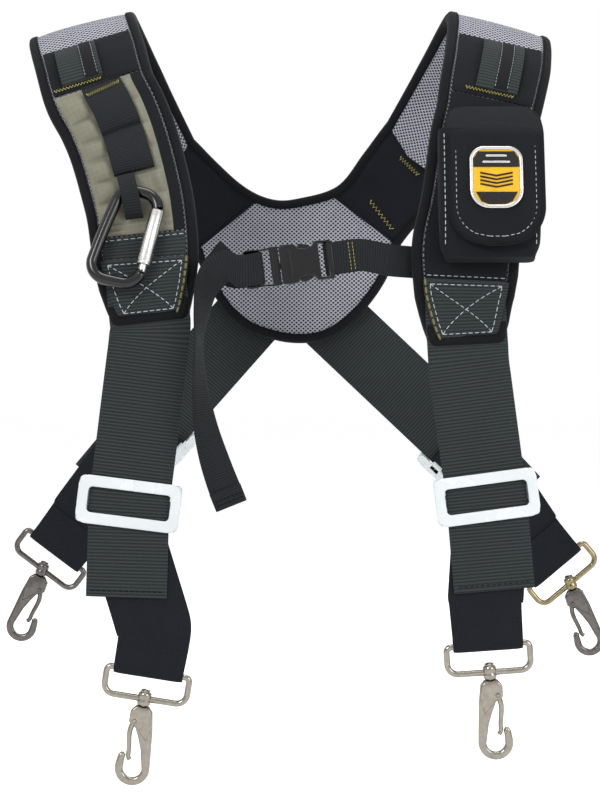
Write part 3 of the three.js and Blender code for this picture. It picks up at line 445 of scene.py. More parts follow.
def plate_mesh(outlines: Sequence[Outline], thickness: float, bevel: float,
               rounds: int = 3) -> bpy.types.Mesh:
    """Make a plate with rounded edges from outlines in XZ, holes included.

    Args:
        outlines: The outer outline and any holes, in millimetres.
        thickness: The plate's whole thickness along Y.
        bevel: The radius of its edges.
        rounds: How finely the edges are rounded.

    Returns:
        The mesh, in metres, centred on y = 0.
    """
    curve = bpy.data.curves.new("plate", "CURVE")
    curve.dimensions = "2D"
    curve.fill_mode = "BOTH"
    curve.extrude = max(thickness / 2 - bevel, 0.01)
    curve.bevel_depth = bevel
    curve.bevel_resolution = rounds
    curve.offset = -bevel
    for outline in outlines:
        spline = curve.splines.new("POLY")
        spline.points.add(len(outline) - 1)
        for point, (x, z) in zip(spline.points, outline):
            point.co = (x, z, 0, 1)
        spline.use_cyclic_u = True
    item = bpy.data.objects.new("plate", curve)
    bpy.context.scene.collection.objects.link(item)
    graph = bpy.context.evaluated_depsgraph_get()
    mesh = bpy.data.meshes.new_from_object(item.evaluated_get(graph))
    bpy.data.objects.remove(item)
    bpy.data.curves.remove(curve)
    mesh.materials.clear()
    across_y(mesh)
    mesh.transform(Matrix.Scale(MM, 4))
    return mesh


def place(mesh: bpy.types.Mesh, where: Matrix) -> bpy.types.Mesh:
    """Move a mesh in metres by a placement in millimetres, and return it.

    Args:
        mesh: A mesh in its own frame, in metres.
        where: The place that it goes to, in millimetres.

    Returns:
        The same mesh, moved.
    """
    scaled = where.copy()
    scaled.translation = where.translation * MM
    mesh.transform(scaled)
    return mesh


def move(mesh: bpy.types.Mesh, x: float = 0.0, y: float = 0.0, z: float = 0.0) -> bpy.types.Mesh:
    """Move a mesh in metres by x, y and z in millimetres, and return it."""
    mesh.transform(Matrix.Translation(Vector((x, y, z)) * MM))
    return mesh


def across_y(mesh: bpy.types.Mesh) -> bpy.types.Mesh:
    """Turn a mesh's Z axis onto Y, and return it."""
    mesh.transform(Matrix.Rotation(math.pi / 2, 4, "X"))
    return mesh


def merge(name: str, meshes: Sequence[bpy.types.Mesh], materials: Sequence[bpy.types.Material],
          sharp: float = 40.0) -> bpy.types.Object:
    """Join meshes into one object; each mesh's faces keep its own place in the list of materials.

    Args:
        name: The piece's name.
        meshes: The meshes, in metres.
        materials: One for each mesh, or one for all.
        sharp: Edges sharper than this many degrees stay sharp.

    Returns:
        The new object.
    """
    work = bmesh.new()
    for index, mesh in enumerate(meshes):
        before = len(work.faces)
        work.from_mesh(mesh)
        work.faces.ensure_lookup_table()
        for face in work.faces[before:]:
            face.material_index = min(index, len(materials) - 1)
        bpy.data.meshes.remove(mesh)
    joined = bpy.data.meshes.new(name)
    work.to_mesh(joined)
    work.free()
    for material in materials:
        joined.materials.append(material)
    return finish_object(name, joined, sharp)


def lathe_mesh(profile: Outline, sides: int = 32) -> bpy.types.Mesh:
    """Turn a profile of (radius, z) about Z into a closed mesh, in metres.

    Args:
        profile: Pairs of radius and height.
        sides: How many sides the turned shape has.

    Returns:
        The mesh.
    """
    maker = MeshMaker()
    rings = [
        [Vector((max(r, 0.01) * math.cos(2 * math.pi * j / sides),
                 max(r, 0.01) * math.sin(2 * math.pi * j / sides), z))
         for j in range(sides)]
        for r, z in profile
    ]
    maker.loft(rings, list(range(sides)), list(range(len(rings))))
    return maker.mesh("turned", laid_out=False)


def rings_mesh(rings: Sequence[Ring], closed: bool = False) -> bpy.types.Mesh:
    """Return the mesh of a tube through rings, in metres.

    Args:
        rings: The rings, all with the same number of points.
        closed: Whether the last ring joins the first.

    Returns:
        The mesh.
    """
    maker = MeshMaker()
    if closed:
        maker.torus(rings)
    else:
        maker.loft(rings, list(range(len(rings[0]))), list(range(len(rings))))
    return maker.mesh("tube", laid_out=False)


# ---- finishes ----


def srgb(red: int, green: int, blue: int) -> tuple[float, float, float, float]:
    """Return a linear colour for a colour written from 0 to 255."""
    return tuple(((c / 255) / 12.92 if c <= 10 else ((c / 255 + 0.055) / 1.055) ** 2.4)
                 for c in (red, green, blue)) + (1.0,)


class Weave(Enum):
    """How a finish's surface is built up."""

    RIBS = "ribs"
    CANVAS = "canvas"
    SPACER = "spacer"
    GRID = "grid"
    KNIT = "knit"
    TWIST = "twist"
    MOULDED = "moulded"
    CAST = "cast"
    BRUSHED = "brushed"


@dataclass(frozen=True)
class Finish:
    """What one material looks like.

    Pitch is the size of one rib, yarn, hole or grain in millimetres, and depth is how tall its bump is.
    """

    name: str
    weave: Weave
    colour: tuple[float, float, float, float]
    # shade is painted shade in the low parts of a cloth or thread weave (its grooves, valleys and mesh
    # holes); on cast, moulded and brushed finishes it is only the darker end of a random grain.
    shade: tuple[float, float, float, float]
    pitch: float
    depth: float
    roughness: float = 0.8
    metallic: float = 0.0
    sheen: float = 0.0
    coat: float = 0.0
    transmission: float = 0.0
    slot: str = "black_cloth"
    specular: float = 0.12


PANEL_CLOTH = Finish("panel_cloth", Weave.CANVAS, srgb(27, 29, 33), srgb(10, 11, 13), 0.9, 0.16, 0.82,
                     sheen=0.03)
BINDING_TAPE = Finish("binding_tape", Weave.KNIT, srgb(26, 27, 31), srgb(9, 9, 11), 1.1, 0.2, 0.86,
                      sheen=0.04)
WING_CLOTH = Finish("wing_cloth", Weave.CANVAS, srgb(25, 27, 34), srgb(9, 10, 13), 0.7, 0.12, 0.78,
                    sheen=0.03)
SPACER_MESH = Finish("spacer_mesh", Weave.SPACER, srgb(168, 169, 179), srgb(36, 36, 42), 3.3, 0.6, 0.85,
                     slot="spacer_mesh")
WEBBING = Finish("ribbed_webbing", Weave.RIBS, srgb(54, 59, 60), srgb(19, 21, 22), 2.1, 0.34, 0.7, sheen=0.03,
                 slot="ribbed_webbing")
CHEST_WEBBING = Finish("chest_webbing", Weave.RIBS, srgb(35, 38, 41), srgb(12, 13, 15), 1.5, 0.24, 0.7,
                       sheen=0.03,
                       slot="ribbed_webbing")
ELASTIC_CLOTH = Finish("elastic_cloth", Weave.KNIT, srgb(32, 35, 42), srgb(13, 14, 18), 1.0, 0.2, 0.78,
                       sheen=0.03,
                       slot="elastic")
RIPSTOP_CLOTH = Finish("ripstop_cloth", Weave.GRID, srgb(141, 140, 124), srgb(98, 97, 83), 3.4, 0.14, 0.6,
                       sheen=0.05, slot="ripstop")
PALE_THREAD = Finish("pale_thread", Weave.TWIST, srgb(206, 217, 222), srgb(150, 160, 166), 0.5, 0.1, 0.7)
YELLOW_THREAD = Finish("yellow_thread", Weave.TWIST, srgb(214, 201, 122), srgb(168, 152, 70), 0.5, 0.1, 0.7)
DARK_THREAD = Finish("dark_thread", Weave.TWIST, srgb(26, 27, 31), srgb(10, 10, 12), 0.5, 0.1, 0.8,
                     specular=0.05)
OLIVE_THREAD = Finish("olive_thread", Weave.TWIST, srgb(142, 134, 88), srgb(96, 90, 56), 0.5, 0.1, 0.8)
LABEL_TAPE = Finish("label_tape", Weave.RIBS, srgb(19, 20, 22), srgb(9, 9, 10), 0.8, 0.1, 0.6)
CLEAR_SLIDER = Finish("clear_slider", Weave.MOULDED, srgb(226, 231, 232), srgb(218, 224, 226), 14.0, 0.01,
                      0.25,
                      transmission=0.08, slot="clear_plastic", specular=0.5)
MOULDED_BLACK = Finish("moulded_black", Weave.MOULDED, srgb(24, 24, 26), srgb(14, 14, 16), 1.2, 0.03, 0.3,
                       coat=0.35, slot="black_plastic")
CAST_NICKEL = Finish("cast_nickel", Weave.CAST, srgb(158, 152, 142), srgb(120, 115, 106), 3.0, 0.006, 0.17,
                     1.0,
                     slot="nickel")
BRASSY_NICKEL = Finish("brassy_nickel", Weave.CAST, srgb(152, 141, 112), srgb(108, 98, 74), 3.0, 0.006, 0.18,
                       1.0,
                       slot="nickel")
DARK_NICKEL = Finish("dark_nickel", Weave.CAST, srgb(112, 108, 105), srgb(76, 72, 70), 3.0, 0.006, 0.16, 1.0,
                     slot="nickel")
ANODISED = Finish("anodised_black", Weave.MOULDED, srgb(12, 12, 13), srgb(7, 7, 8), 2.0, 0.004, 0.16, 0.0,
                  coat=0.25, slot="black_anodised", specular=0.3)
BRUSHED_METAL = Finish("brushed_metal", Weave.BRUSHED, srgb(226, 226, 222), srgb(168, 168, 166), 0.25, 0.02,
                       0.26,
                       1.0, slot="aluminium")
AMBER_ENAMEL = Finish("amber_enamel", Weave.MOULDED, srgb(232, 184, 40), srgb(216, 160, 22), 5.0, 0.02, 0.3,
                      coat=0.4, slot="yellow_rubber")
CHARCOAL_ENAMEL = Finish("charcoal_enamel", Weave.MOULDED, srgb(32, 31, 30), srgb(20, 19, 18), 5.0, 0.02, 0.3,
                         coat=0.4, slot="yellow_rubber")


class NodeSketch:
    """A short way to write a material's nodes."""

    def __init__(self, material: bpy.types.Material) -> None:
        """Start from the material's own Principled shader."""
        self.tree = material.node_tree
        self.nodes = self.tree.nodes
        self.links = self.tree.links
        self.shader = self.nodes["Principled BSDF"]

    def add(self, kind: str, **values) -> bpy.types.Node:
        """Add a node and set its properties.

        Args:
            kind: The node's type.

        Returns:
            The node.
        """
        node = self.nodes.new(kind)
        for key, value in values.items():
            setattr(node, key, value)
        return node

    def put(self, target: bpy.types.NodeSocket, value) -> None:
        """Link a socket's output to the target, or set the target's value.

        Args:
            target: The input.
            value: A number, a colour or the output of another node.
        """
        if isinstance(value, bpy.types.NodeSocket):
            self.links.new(value, target)
        else:
            target.default_value = value

    def math(self, operation: str, *values) -> bpy.types.NodeSocket:
        """Return the result of a math node on sockets or numbers.

        Args:
            operation: The math node's operation.
            values: Its inputs: numbers or outputs.

        Returns:
            The output.
        """
        node = self.add("ShaderNodeMath", operation=operation)
        for socket, value in zip(node.inputs, values):
            self.put(socket, value)
        return node.outputs[0]

    def noise(self, vector: bpy.types.NodeSocket, scale: float, detail: float = 2.0) -> bpy.types.NodeSocket:
        """Return a noise texture's factor.

        Args:
            vector: Where the noise is looked up.
            scale: Its scale.
            detail: Its detail.

        Returns:
            The output.
        """
        node = self.add("ShaderNodeTexNoise")
        self.put(node.inputs["Vector"], vector)
        node.inputs["Scale"].default_value = scale
        node.inputs["Detail"].default_value = detail
        return node.outputs["Fac"]

    def mix(self, factor, first, second) -> bpy.types.NodeSocket:
        """Return a colour between two.

        Args:
            factor: How much of the second.
            first: One colour.
            second: The other.

        Returns:
            The output.
        """
        node = self.add("ShaderNodeMix", data_type="RGBA")
        self.put(node.inputs[0], factor)
        self.put(node.inputs[6], first)
        self.put(node.inputs[7], second)
        return node.outputs[2]

    def wave(self, value, pitch: float, phase: float = 0.0) -> bpy.types.NodeSocket:
        """Return a wave from 0 to 1 that repeats every pitch millimetres."""
        turned = self.math("MULTIPLY_ADD", value, 2 * math.pi / (pitch * MM), phase)
        return self.math("MULTIPLY_ADD", self.math("SINE", turned), 0.5, 0.5)

    def bump(self, height: bpy.types.NodeSocket, depth: float, before=None) -> bpy.types.NodeSocket:
        """Return a normal bumped by a height from 0 to 1, depth in millimetres.

        Args:
            height: The height, as an output.
            depth: How deep it is.
            before: A normal to build upon.

        Returns:
            The normal, as an output.
        """
        node = self.add("ShaderNodeBump")
        node.inputs["Strength"].default_value = 1.0
        node.inputs["Distance"].default_value = depth * MM
        self.put(node.inputs["Height"], height)
        if before is not None:
            self.put(node.inputs["Normal"], before)
        return node.outputs[0]


class FinishBook:
    """Makes each finish's material once."""

    def __init__(self) -> None:
        """Start with no materials."""
        self.made: dict[str, bpy.types.Material] = {}

    def get(self, finish: Finish) -> bpy.types.Material:
        """Return the finish's material, made on first use.

        Args:
            finish: What the material looks like.

        Returns:
            A procedural material.
        """
        if finish.name not in self.made:
            self.made[finish.name] = self._make(finish)
        return self.made[finish.name]

    def _make(self, finish: Finish) -> bpy.types.Material:
        """Make a finish's material.

        Args:
            finish: What is made.

        Returns:
            The material.
        """
        material = bpy.data.materials.new(finish.name)
        material.use_nodes = True
        sketch = NodeSketch(material)
        place_node = sketch.add("ShaderNodeTexCoord")
        solid = place_node.outputs["Object"]
        flat = sketch.add("ShaderNodeUVMap", uv_map="cloth").outputs[0]
        split = sketch.add("ShaderNodeSeparateXYZ")
        sketch.put(split.inputs[0], flat)
        u, v = split.outputs[0], split.outputs[1]
        pattern, broad = self._pattern(sketch, finish, solid, u, v)
        fading = sketch.noise(solid, 34.0, 3.0)
        # Painted shade: the weave's low parts, where the bump sinks, take the darker shade colour; on cast,
        # moulded and brushed finishes the grain mixes the two tones at random.
        colour = sketch.mix(pattern, finish.shade, finish.colour)
        worn = sketch.math("MULTIPLY_ADD", fading, 0.7, 0.62)
        tint = sketch.add("ShaderNodeMix", data_type="RGBA", blend_type="MULTIPLY")
        tint.inputs[0].default_value = 0.35 if finish.metallic < 0.9 else 0.15
        sketch.put(tint.inputs[6], colour)
        grey = sketch.add("ShaderNodeCombineColor")
        for socket in grey.inputs:
            sketch.put(socket, worn)
        sketch.put(tint.inputs[7], grey.outputs[0])
        sketch.put(sketch.shader.inputs["Base Color"], tint.outputs[2])
        rough = sketch.math("MULTIPLY_ADD", fading, 0.24, finish.roughness - 0.12)
        sketch.put(sketch.shader.inputs["Roughness"], rough)
        sketch.shader.inputs["Metallic"].default_value = finish.metallic
        sketch.shader.inputs["Specular IOR Level"].default_value = finish.specular
        sketch.shader.inputs["Sheen Weight"].default_value = finish.sheen
        sketch.shader.inputs["Sheen Roughness"].default_value = 0.45
        sketch.shader.inputs["Coat Weight"].default_value = finish.coat
        sketch.shader.inputs["Coat Roughness"].default_value = 0.12
        sketch.shader.inputs["Transmission Weight"].default_value = finish.transmission
        if finish.transmission:
            sketch.shader.inputs["IOR"].default_value = 1.45
        normal = sketch.bump(broad, 0.25 if finish.metallic < 0.9 and finish.weave is not Weave.MOULDED
                             else 0.012)
        sketch.put(sketch.shader.inputs["Normal"], sketch.bump(pattern, finish.depth, normal))
        return material

    def _pattern(self, sketch: NodeSketch, finish: Finish, solid, u, v):
        """Return the fine pattern from 0 to 1 and the broad unevenness under it."""
        broad = sketch.noise(solid, 90.0, 2.0)
        pitch = finish.pitch
        if finish.weave is Weave.RIBS:
            rib = sketch.math("POWER", sketch.wave(v, pitch), 0.6)
            yarn = sketch.wave(u, pitch * 0.45)
            fleck = sketch.noise(solid, 2600.0, 1.0)
            woven = sketch.math("MULTIPLY_ADD", yarn, 0.22, sketch.math("MULTIPLY", rib, 0.68))
            return sketch.math("MULTIPLY_ADD", fleck, 0.2, woven), broad
        if finish.weave is Weave.CANVAS:
            over = sketch.math("MULTIPLY", sketch.wave(u, pitch), sketch.wave(v, pitch))
            under = sketch.math("MULTIPLY", sketch.wave(u, pitch, math.pi), sketch.wave(v, pitch, math.pi))
            fleck = sketch.noise(solid, 1800.0, 1.0)
            return sketch.math("MULTIPLY_ADD", fleck, 0.3, sketch.math("ADD", over, under)), broad
        if finish.weave is Weave.SPACER:
            first = sketch.math("MULTIPLY", sketch.wave(u, pitch), sketch.wave(v, pitch * 0.86))
            second = sketch.math("MULTIPLY", sketch.wave(u, pitch, math.pi),
                                 sketch.wave(v, pitch * 0.86, math.pi))
            hole = sketch.math("SMOOTH_MAX", first, second, 0.1)
            ramp = sketch.add("ShaderNodeMapRange", interpolation_type="SMOOTHSTEP")
            sketch.put(ramp.inputs["Value"], hole)
            ramp.inputs["From Min"].default_value = 0.38
            ramp.inputs["From Max"].default_value = 0.78
            ramp.inputs["To Min"].default_value = 1.0
            ramp.inputs["To Max"].default_value = 0.0
            return ramp.outputs[0], broad
        if finish.weave is Weave.GRID:
            lines = sketch.math("MAXIMUM", sketch.math("POWER", sketch.wave(u, pitch), 14.0),
                                sketch.math("POWER", sketch.wave(v, pitch), 14.0))
            fine = sketch.math("MULTIPLY", sketch.wave(u, 0.6), sketch.wave(v, 0.6))
            return sketch.math("MULTIPLY_ADD", fine, 0.45,
                               sketch.math("MULTIPLY_ADD", lines, 0.16, 0.36)), broad
        if finish.weave is Weave.KNIT:
            rib = sketch.wave(u, pitch)
            stitch = sketch.wave(sketch.math("ADD", v, sketch.math("MULTIPLY", u, 0.6)), pitch * 0.8)
            return sketch.math("MULTIPLY_ADD", stitch, 0.45, sketch.math("MULTIPLY", rib, 0.55)), broad
        if finish.weave is Weave.TWIST:
            return sketch.wave(sketch.math("ADD", v, u), pitch), broad
        if finish.weave is Weave.BRUSHED:
            mapping = sketch.add("ShaderNodeMapping")
            sketch.put(mapping.inputs["Vector"], solid)
            mapping.inputs["Scale"].default_value = (1.0, 1.0, 30.0)
            return sketch.noise(mapping.outputs[0], 130.0, 3.0), broad
        grain = sketch.noise(solid, 1000.0 / max(pitch, 0.1), 3.0)
        return grain, broad


FINISHES = FinishBook()


def settle(item: bpy.types.Object, body: str, finish: Finish, *nodes: str) -> bpy.types.Object:
    """Put a finished piece on its body and let it stand for its CAD nodes.

    Args:
        item: The piece.
        body: The CAD body that it moves with.
        finish: Not used.
        nodes: The CAD nodes that it stands for.

    Returns:
        The same piece.
    """
    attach(item, body)
    if nodes:
        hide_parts(*nodes)
    LOG.info("%s: %d vertices on %s", item.name, len(item.data.vertices), body)
    return item


def sew(maker: MeshMaker, name: str, body: str, finish: Finish, *nodes: str,
        sharp: float = 45.0) -> bpy.types.Object:
    """Build a piece of one finish and settle it.

    Args:
        maker: Holds the piece's faces.
        name: The piece's name.
        body: The CAD body that it moves with.
        finish: What it is made of.
        nodes: The CAD nodes that it stands for.
        sharp: Edges sharper than this many degrees stay sharp.

    Returns:
        The piece.
    """
    return settle(maker.build(name, FINISHES.get(finish), sharp), body, finish, *nodes)


def assemble(name: str, parts: Sequence[bpy.types.Mesh], where: Matrix, body: str, finish: Finish,
             node: str) -> bpy.types.Object:
    """Put parts in place, join them into one piece of one finish and settle it.

    Args:
        name: The piece's name.
        parts: Meshes in the piece's own frame.
        where: The piece's place.
        body: The CAD body that it moves with.
        finish: What it is made of.
        node: The CAD node that it stands for.

    Returns:
        The piece.
    """
    item = merge(name, [place(m, where) for m in parts], [FINISHES.get(finish)])
    return settle(item, body, finish, node)


# ---- stitching ----


@dataclass
class Seam:
    """A row of stitches on a line of points with surface normals."""

    length: float = 2.6
    gap: float = 1.3
    width: float = 0.55
    lift: float = 0.12

    def add_to(self, maker: MeshMaker, points: Sequence[Vector], normals: Sequence[Vector]) -> None:
        """Add each stitch as a small rounded thread that dips into the cloth at both ends."""
        runs = [0.0]
        for before, after in zip(points, points[1:]):
            runs.append(runs[-1] + (after - before).length)
        if runs[-1] < self.length:
            return
        count = max(1, int((runs[-1] + self.gap) / (self.length + self.gap)))
        pitch = (runs[-1] + self.gap) / count
        length = pitch - self.gap

        def locate(run: float) -> tuple[Vector, Vector]:
            """Find a place on the line.

            Args:
                run: How far along the line it lies.

            Returns:
                The point and its normal.
            """
            index = 0
            while index < len(runs) - 2 and runs[index + 1] < run:
                index += 1
            way = (run - runs[index]) / max(runs[index + 1] - runs[index], 1e-6)
            way = min(max(way, 0.0), 1.0)
            return points[index].lerp(points[index + 1], way), normals[index].lerp(normals[index + 1], way)

        for i in range(count):
            rings = []
            start = i * pitch
            for j in range(5):
                way = j / 4
                p, n = locate(start + length * way)
                q, _ = locate(min(start + length * way + 0.2, runs[-1]))
                r, _ = locate(max(start + length * way - 0.2, 0.0))
                along = (q - r).normalized()
                n = (n - along * n.dot(along)).normalized()
                side = along.cross(n)
                swell = math.sin(math.pi * (0.12 + 0.76 * way))
                centre = p + n * (self.lift + 0.18 * swell)
                radius = self.width / 2 * (0.45 + 0.55 * swell)
                rings.append([
                    centre + side * (radius * math.cos(a)) + n * (radius * 0.8 * math.sin(a))
                    for a in (2 * math.pi * k / 6 for k in range(6))
                ])
            maker.loft(rings, [0, 0.3, 0.6, 0.9, 1.2, 1.5], [0, 0.6, 1.2, 1.8, 2.4])


def zigzag(start: Vector, end: Vector, normal: Vector, width: float,
           teeth: int) -> tuple[list[Vector], list[Vector]]:
    """Return the points and normals of a bartack from start to end.

    Args:
        start: Where the zigzag starts.
        end: Where it ends.
        normal: The direction out of the cloth.
        width: How wide it swings.
        teeth: How many swings it makes.

    Returns:
        Its points, and the normal at each.
    """
    along = end - start
    side = along.cross(normal).normalized()
    points = []
    for i in range(2 * teeth + 1):
        sign = 1 if i % 2 else -1
        points.append(start + along * (i / (2 * teeth)) + side * (sign * width / 2))
    return points, [normal] * len(points)


def add_bartack(maker: MeshMaker, start: Vector, end: Vector, normal: Vector, width: float = 2.2,
                teeth: int = 9) -> None:
    """Add a dense zigzag of thread between two points.

    Args:
        maker: Where the stitches go.
        start: Where the bartack starts.
        end: Where it ends.
        normal: The direction out of the cloth.
        width: How wide it is.
        teeth: How many swings it makes.
    """
    points, normals = zigzag(start, end, normal, width, teeth)
    runs = tube_rings_on(points, normals, 0.3, 0.25)
    maker.loft(runs, [0, 0.3, 0.6, 0.9, 1.2, 1.5], [0.6 * i for i in range(len(runs))])


def tube_rings_on(points: Sequence[Vector], normals: Sequence[Vector], radius: float,
                  lift: float) -> list[Ring]:
    """Return hexagonal sections of a thread that lies on a surface.

    Args:
        points: Where the thread runs.
        normals: The direction out of the cloth at each point.
        radius: The thread's radius.
        lift: How far it is lifted off the points.

    Returns:
        The rings.
    """
    rings = []
    for i, (p, n) in enumerate(zip(points, normals)):
        along = (points[min(i + 1, len(points) - 1)] - points[max(i - 1, 0)]).normalized()
        side = along.cross(n).normalized()
        rings.append([p + n * (lift + radius * math.sin(a)) + side * (radius * math.cos(a))
                      for a in (2 * math.pi * k / 6 for k in range(6))])
    return rings


CROSS_SEAM = Seam(2.6, 1.4, 0.55)
BINDING_SEAM = Seam(2.4, 1.0, 0.42)


# ---- shoulder pads ----


PAD_WIDTH = 70.0
HALF_PAD = 4.5
PANEL_LOW = HALF_PAD + GAP
STRAP_LOW = 6.3
WEBBING_THICKNESS = 1.4
EDGE_INSET = 7.4
Station = tuple[float, float, float, float, float]

RIGHT_STATIONS: list[Station] = [
    (83, 73, -70, 44, 8), (112, 44, -26, 30, 2), (131.5, 0, 4.5, 15, 0), (128.6, -38, -21, 13, 0),
    (123, -55, -45, 12, 2), (119.5, -62, -61, 11, 4), (116, -68, -79, 9, 2), (113, -75, -106, 5, 0),
    (110, -79, -123, 2, 0), (104, -83, -146, 0, 2), (103, -85, -163, 0, 4), (102.5, -86, -178, 0, 8),
    (103, -87, -196, 0, 17), (103.7, -88, -209, 0, 26),
]
LEFT_STATIONS: list[Station] = [
    (-99, 72.5, -78.5, 44, 8), (-126.5, 44, -31, 30, 0), (-145, 0, 4.5, 15, -3), (-136, -38, -21, 13, -3),
    (-128, -55, -45, 12, -2), (-119.5, -62, -61, 11, -1), (-112, -68, -79, 9, 0), (-104, -75, -106, 5, 1),
    (-100, -79, -123, 2, 2), (-97, -83, -146, 0, 3), (-96, -85, -159, 0, 5), (-95, -86, -172, 0, 10),
    (-93.5, -87, -187, 0, 19), (-92.5, -88, -195.5, 0, 26),
]


class PadSurface:
    """The bent middle surface of one shoulder pad, from the yoke over the crest to the front end."""

    def __init__(self, stations: list[Station]) -> None:
        """Keep the stations: the middle of the pad, its tilt in degrees and how much narrower it is."""
        self.stations = stations
        self.side = 1.0 if stations[0][0] > 0 else -1.0
        self.curve = Spline([Vector(s[:3]) for s in stations])

    def value(self, column: int, t: float) -> float:
        """Return a station's value at the way t.

        Args:
            column: Which column of the table of stations.
            t: How far along, from 0 to 1.

        Returns:
            The value.
        """
        scaled = min(max(t, 0.0), 1.0) * (len(self.stations) - 1)
        index = min(int(scaled), len(self.stations) - 2)
        here, after = self.stations[index][column], self.stations[index + 1][column]
        return here + (after - here) * (scaled - index)

    def at(self, z: float) -> float:
        """Return the way at which the front half comes down to a height.

        Args:
            z: The height.

        Returns:
            How far along the pad that height is, from 0 to 1.
        """
        high, low = 2 / (len(self.stations) - 1), 1.0
        for _ in range(30):
            middle = (high + low) / 2
            if self.curve.point(middle).z > z:
                high = middle
            else:
                low = middle
        return high

    def frame(self, t: float) -> Frame:
        """Return the frame at the way t, with the pad's whole width.

        Args:
            t: How far along, from 0 to 1.

        Returns:
            The frame.
        """
        along = (self.curve.point(t + 1e-4) - self.curve.point(t - 1e-4)).normalized()
        tilt = math.radians(self.value(3, t))
        a = Vector((math.cos(tilt), 0, -self.side * math.sin(tilt)))
        a = (a - along * a.dot(along)).normalized()
        return Frame(self.curve.point(t), a, along.cross(a), PAD_WIDTH - self.value(4, t), along)

    def frames(self, t0: float, t1: float, count: int) -> list[Frame]:
        """Return evenly spaced frames between two ways."""
        return with_runs([self.frame(t0 + (t1 - t0) * i / count) for i in range(count + 1)])

    def before_end(self, distance: float) -> float:
        """Return the way that lies a distance short of the front end.

        Args:
            distance: How far before the end, in millimetres.

        Returns:
            How far along the pad that is, from 0 to 1.
        """
        t, run, step = 1.0, 0.0, 1 / 800
        while run < distance:
            run += (self.curve.point(t) - self.curve.point(t - step)).length
            t -= step
        return t


PADS = {Side.LEFT: PadSurface(LEFT_STATIONS), Side.RIGHT: PadSurface(RIGHT_STATIONS)}


def side_name(side: Side) -> str:
    """Return left or right."""
    return side.name.lower()


@dataclass
class PadPart:
    """A layer on one shoulder pad."""

    side: Side

    @property
    def pad(self) -> PadSurface:
        """The surface that the layer lies on."""
        return PADS[self.side]

    def between(self, top: float, bottom: float, rows: int) -> list[Frame]:
        """Return frames from one height down to another, as wide as a panel between the bindings.

        Args:
            top: The height of the first frame.
            bottom: The height of the last frame.
            rows: How many steps there are.

        Returns:
            The frames.
        """
        frames = self.pad.frames(self.pad.at(top), self.pad.at(bottom), rows)
        for f in frames:
            f.width -= 2 * EDGE_INSET
        return frames

    def cross_seam(self, maker: MeshMaker, z: float, lift: float) -> None:
        """Add a row of stitches straight across a panel.

        Args:
            maker: Where the stitches go.
            z: The height of the row.
            lift: How far the panel's face stands from the pad's middle.
        """
        f = self.pad.frame(self.pad.at(z))
        half = f.width / 2 - EDGE_INSET - 1
        points = [f.at(-half + 2 * half * i / 12, lift) for i in range(13)]
        CROSS_SEAM.add_to(maker, points, [f.n] * 13)

    def patch(self, maker: MeshMaker, frames: list[Frame], low: float, high: Callable[[float, float], float],
              columns: int = 16, shift: float = 0.0) -> None:
        """Loft a closed layer whose upper face is a height field.

        Args:
            maker: Where the faces go.
            frames: Frames with the layer's width.
            low: The height of the lower face.
            high: The height of the upper face for x in -1 to 1 and a way in 0 to 1.
            columns: How finely it is divided across.
            shift: How far it is moved across the pad.
        """
        xs = [-1 + 2 * j / columns for j in range(columns + 1)]
        rings = []
        for i, f in enumerate(frames):
            way = i / (len(frames) - 1)
            upper = [f.at(shift + x * f.width / 2, high(x, way)) for x in xs]
            lower = [f.at(shift + x * f.width / 2, low) for x in xs[::-1]]
            rings.append(upper + lower)
        width = frames[0].width
        across = [x * width / 2 for x in xs]
        maker.loft(rings, across + across[::-1], [f.run for f in frames])


@dataclass
class PadBody(PadPart):
    """The spacer-mesh pad with its foam: crowned faces that pull in under the binding."""

    crown: float = 1.5
    inner_crown: float = 2.4
    edge: float = 3.5
    reach: float = 1.9
    columns: int = 26
    rows: int = 150

    def build(self) -> bpy.types.Object:
        pad = self.pad
        frames = pad.frames(0.0, pad.before_end(self.reach), self.rows)
        front = pad.at(-12)
        xs = [-1 + 2 * j / self.columns for j in range(self.columns + 1)]
        rings = []
        for i, f in enumerate(frames):
            t = i / (len(frames) - 1)
            f.width -= 2 * self.reach
            last = smoothstep(0, 12, frames[-1].run - f.run)
            covered = smoothstep(front - 0.03, front + 0.01, t)
            upper, lower = [], []
            for x in xs:
                dome = (1 - abs(x) ** 3.2) * last
                p = f.at(x * f.width / 2, 0)
                puff = 0.5 * lumps(p, 22, 1.0 + self.side.value)
                outer = self.edge + dome * (self.crown * (1 - covered) + 0.8 + puff * (1 - covered))
                inner = self.edge + dome * (self.inner_crown + puff)
                upper.append(f.at(x * f.width / 2, outer))
                lower.append(f.at(x * f.width / 2, -inner))
            rings.append(upper + lower[::-1])
        across = [x * 33 for x in xs]
        maker = MeshMaker()
        maker.loft(rings, across + across[::-1], [f.run for f in frames])
        item = sew(maker, f"{side_name(self.side)}_mesh_pad", "root", SPACER_MESH,
                   f"{side_name(self.side)}_shoulder_pad", sharp=60)
        return item


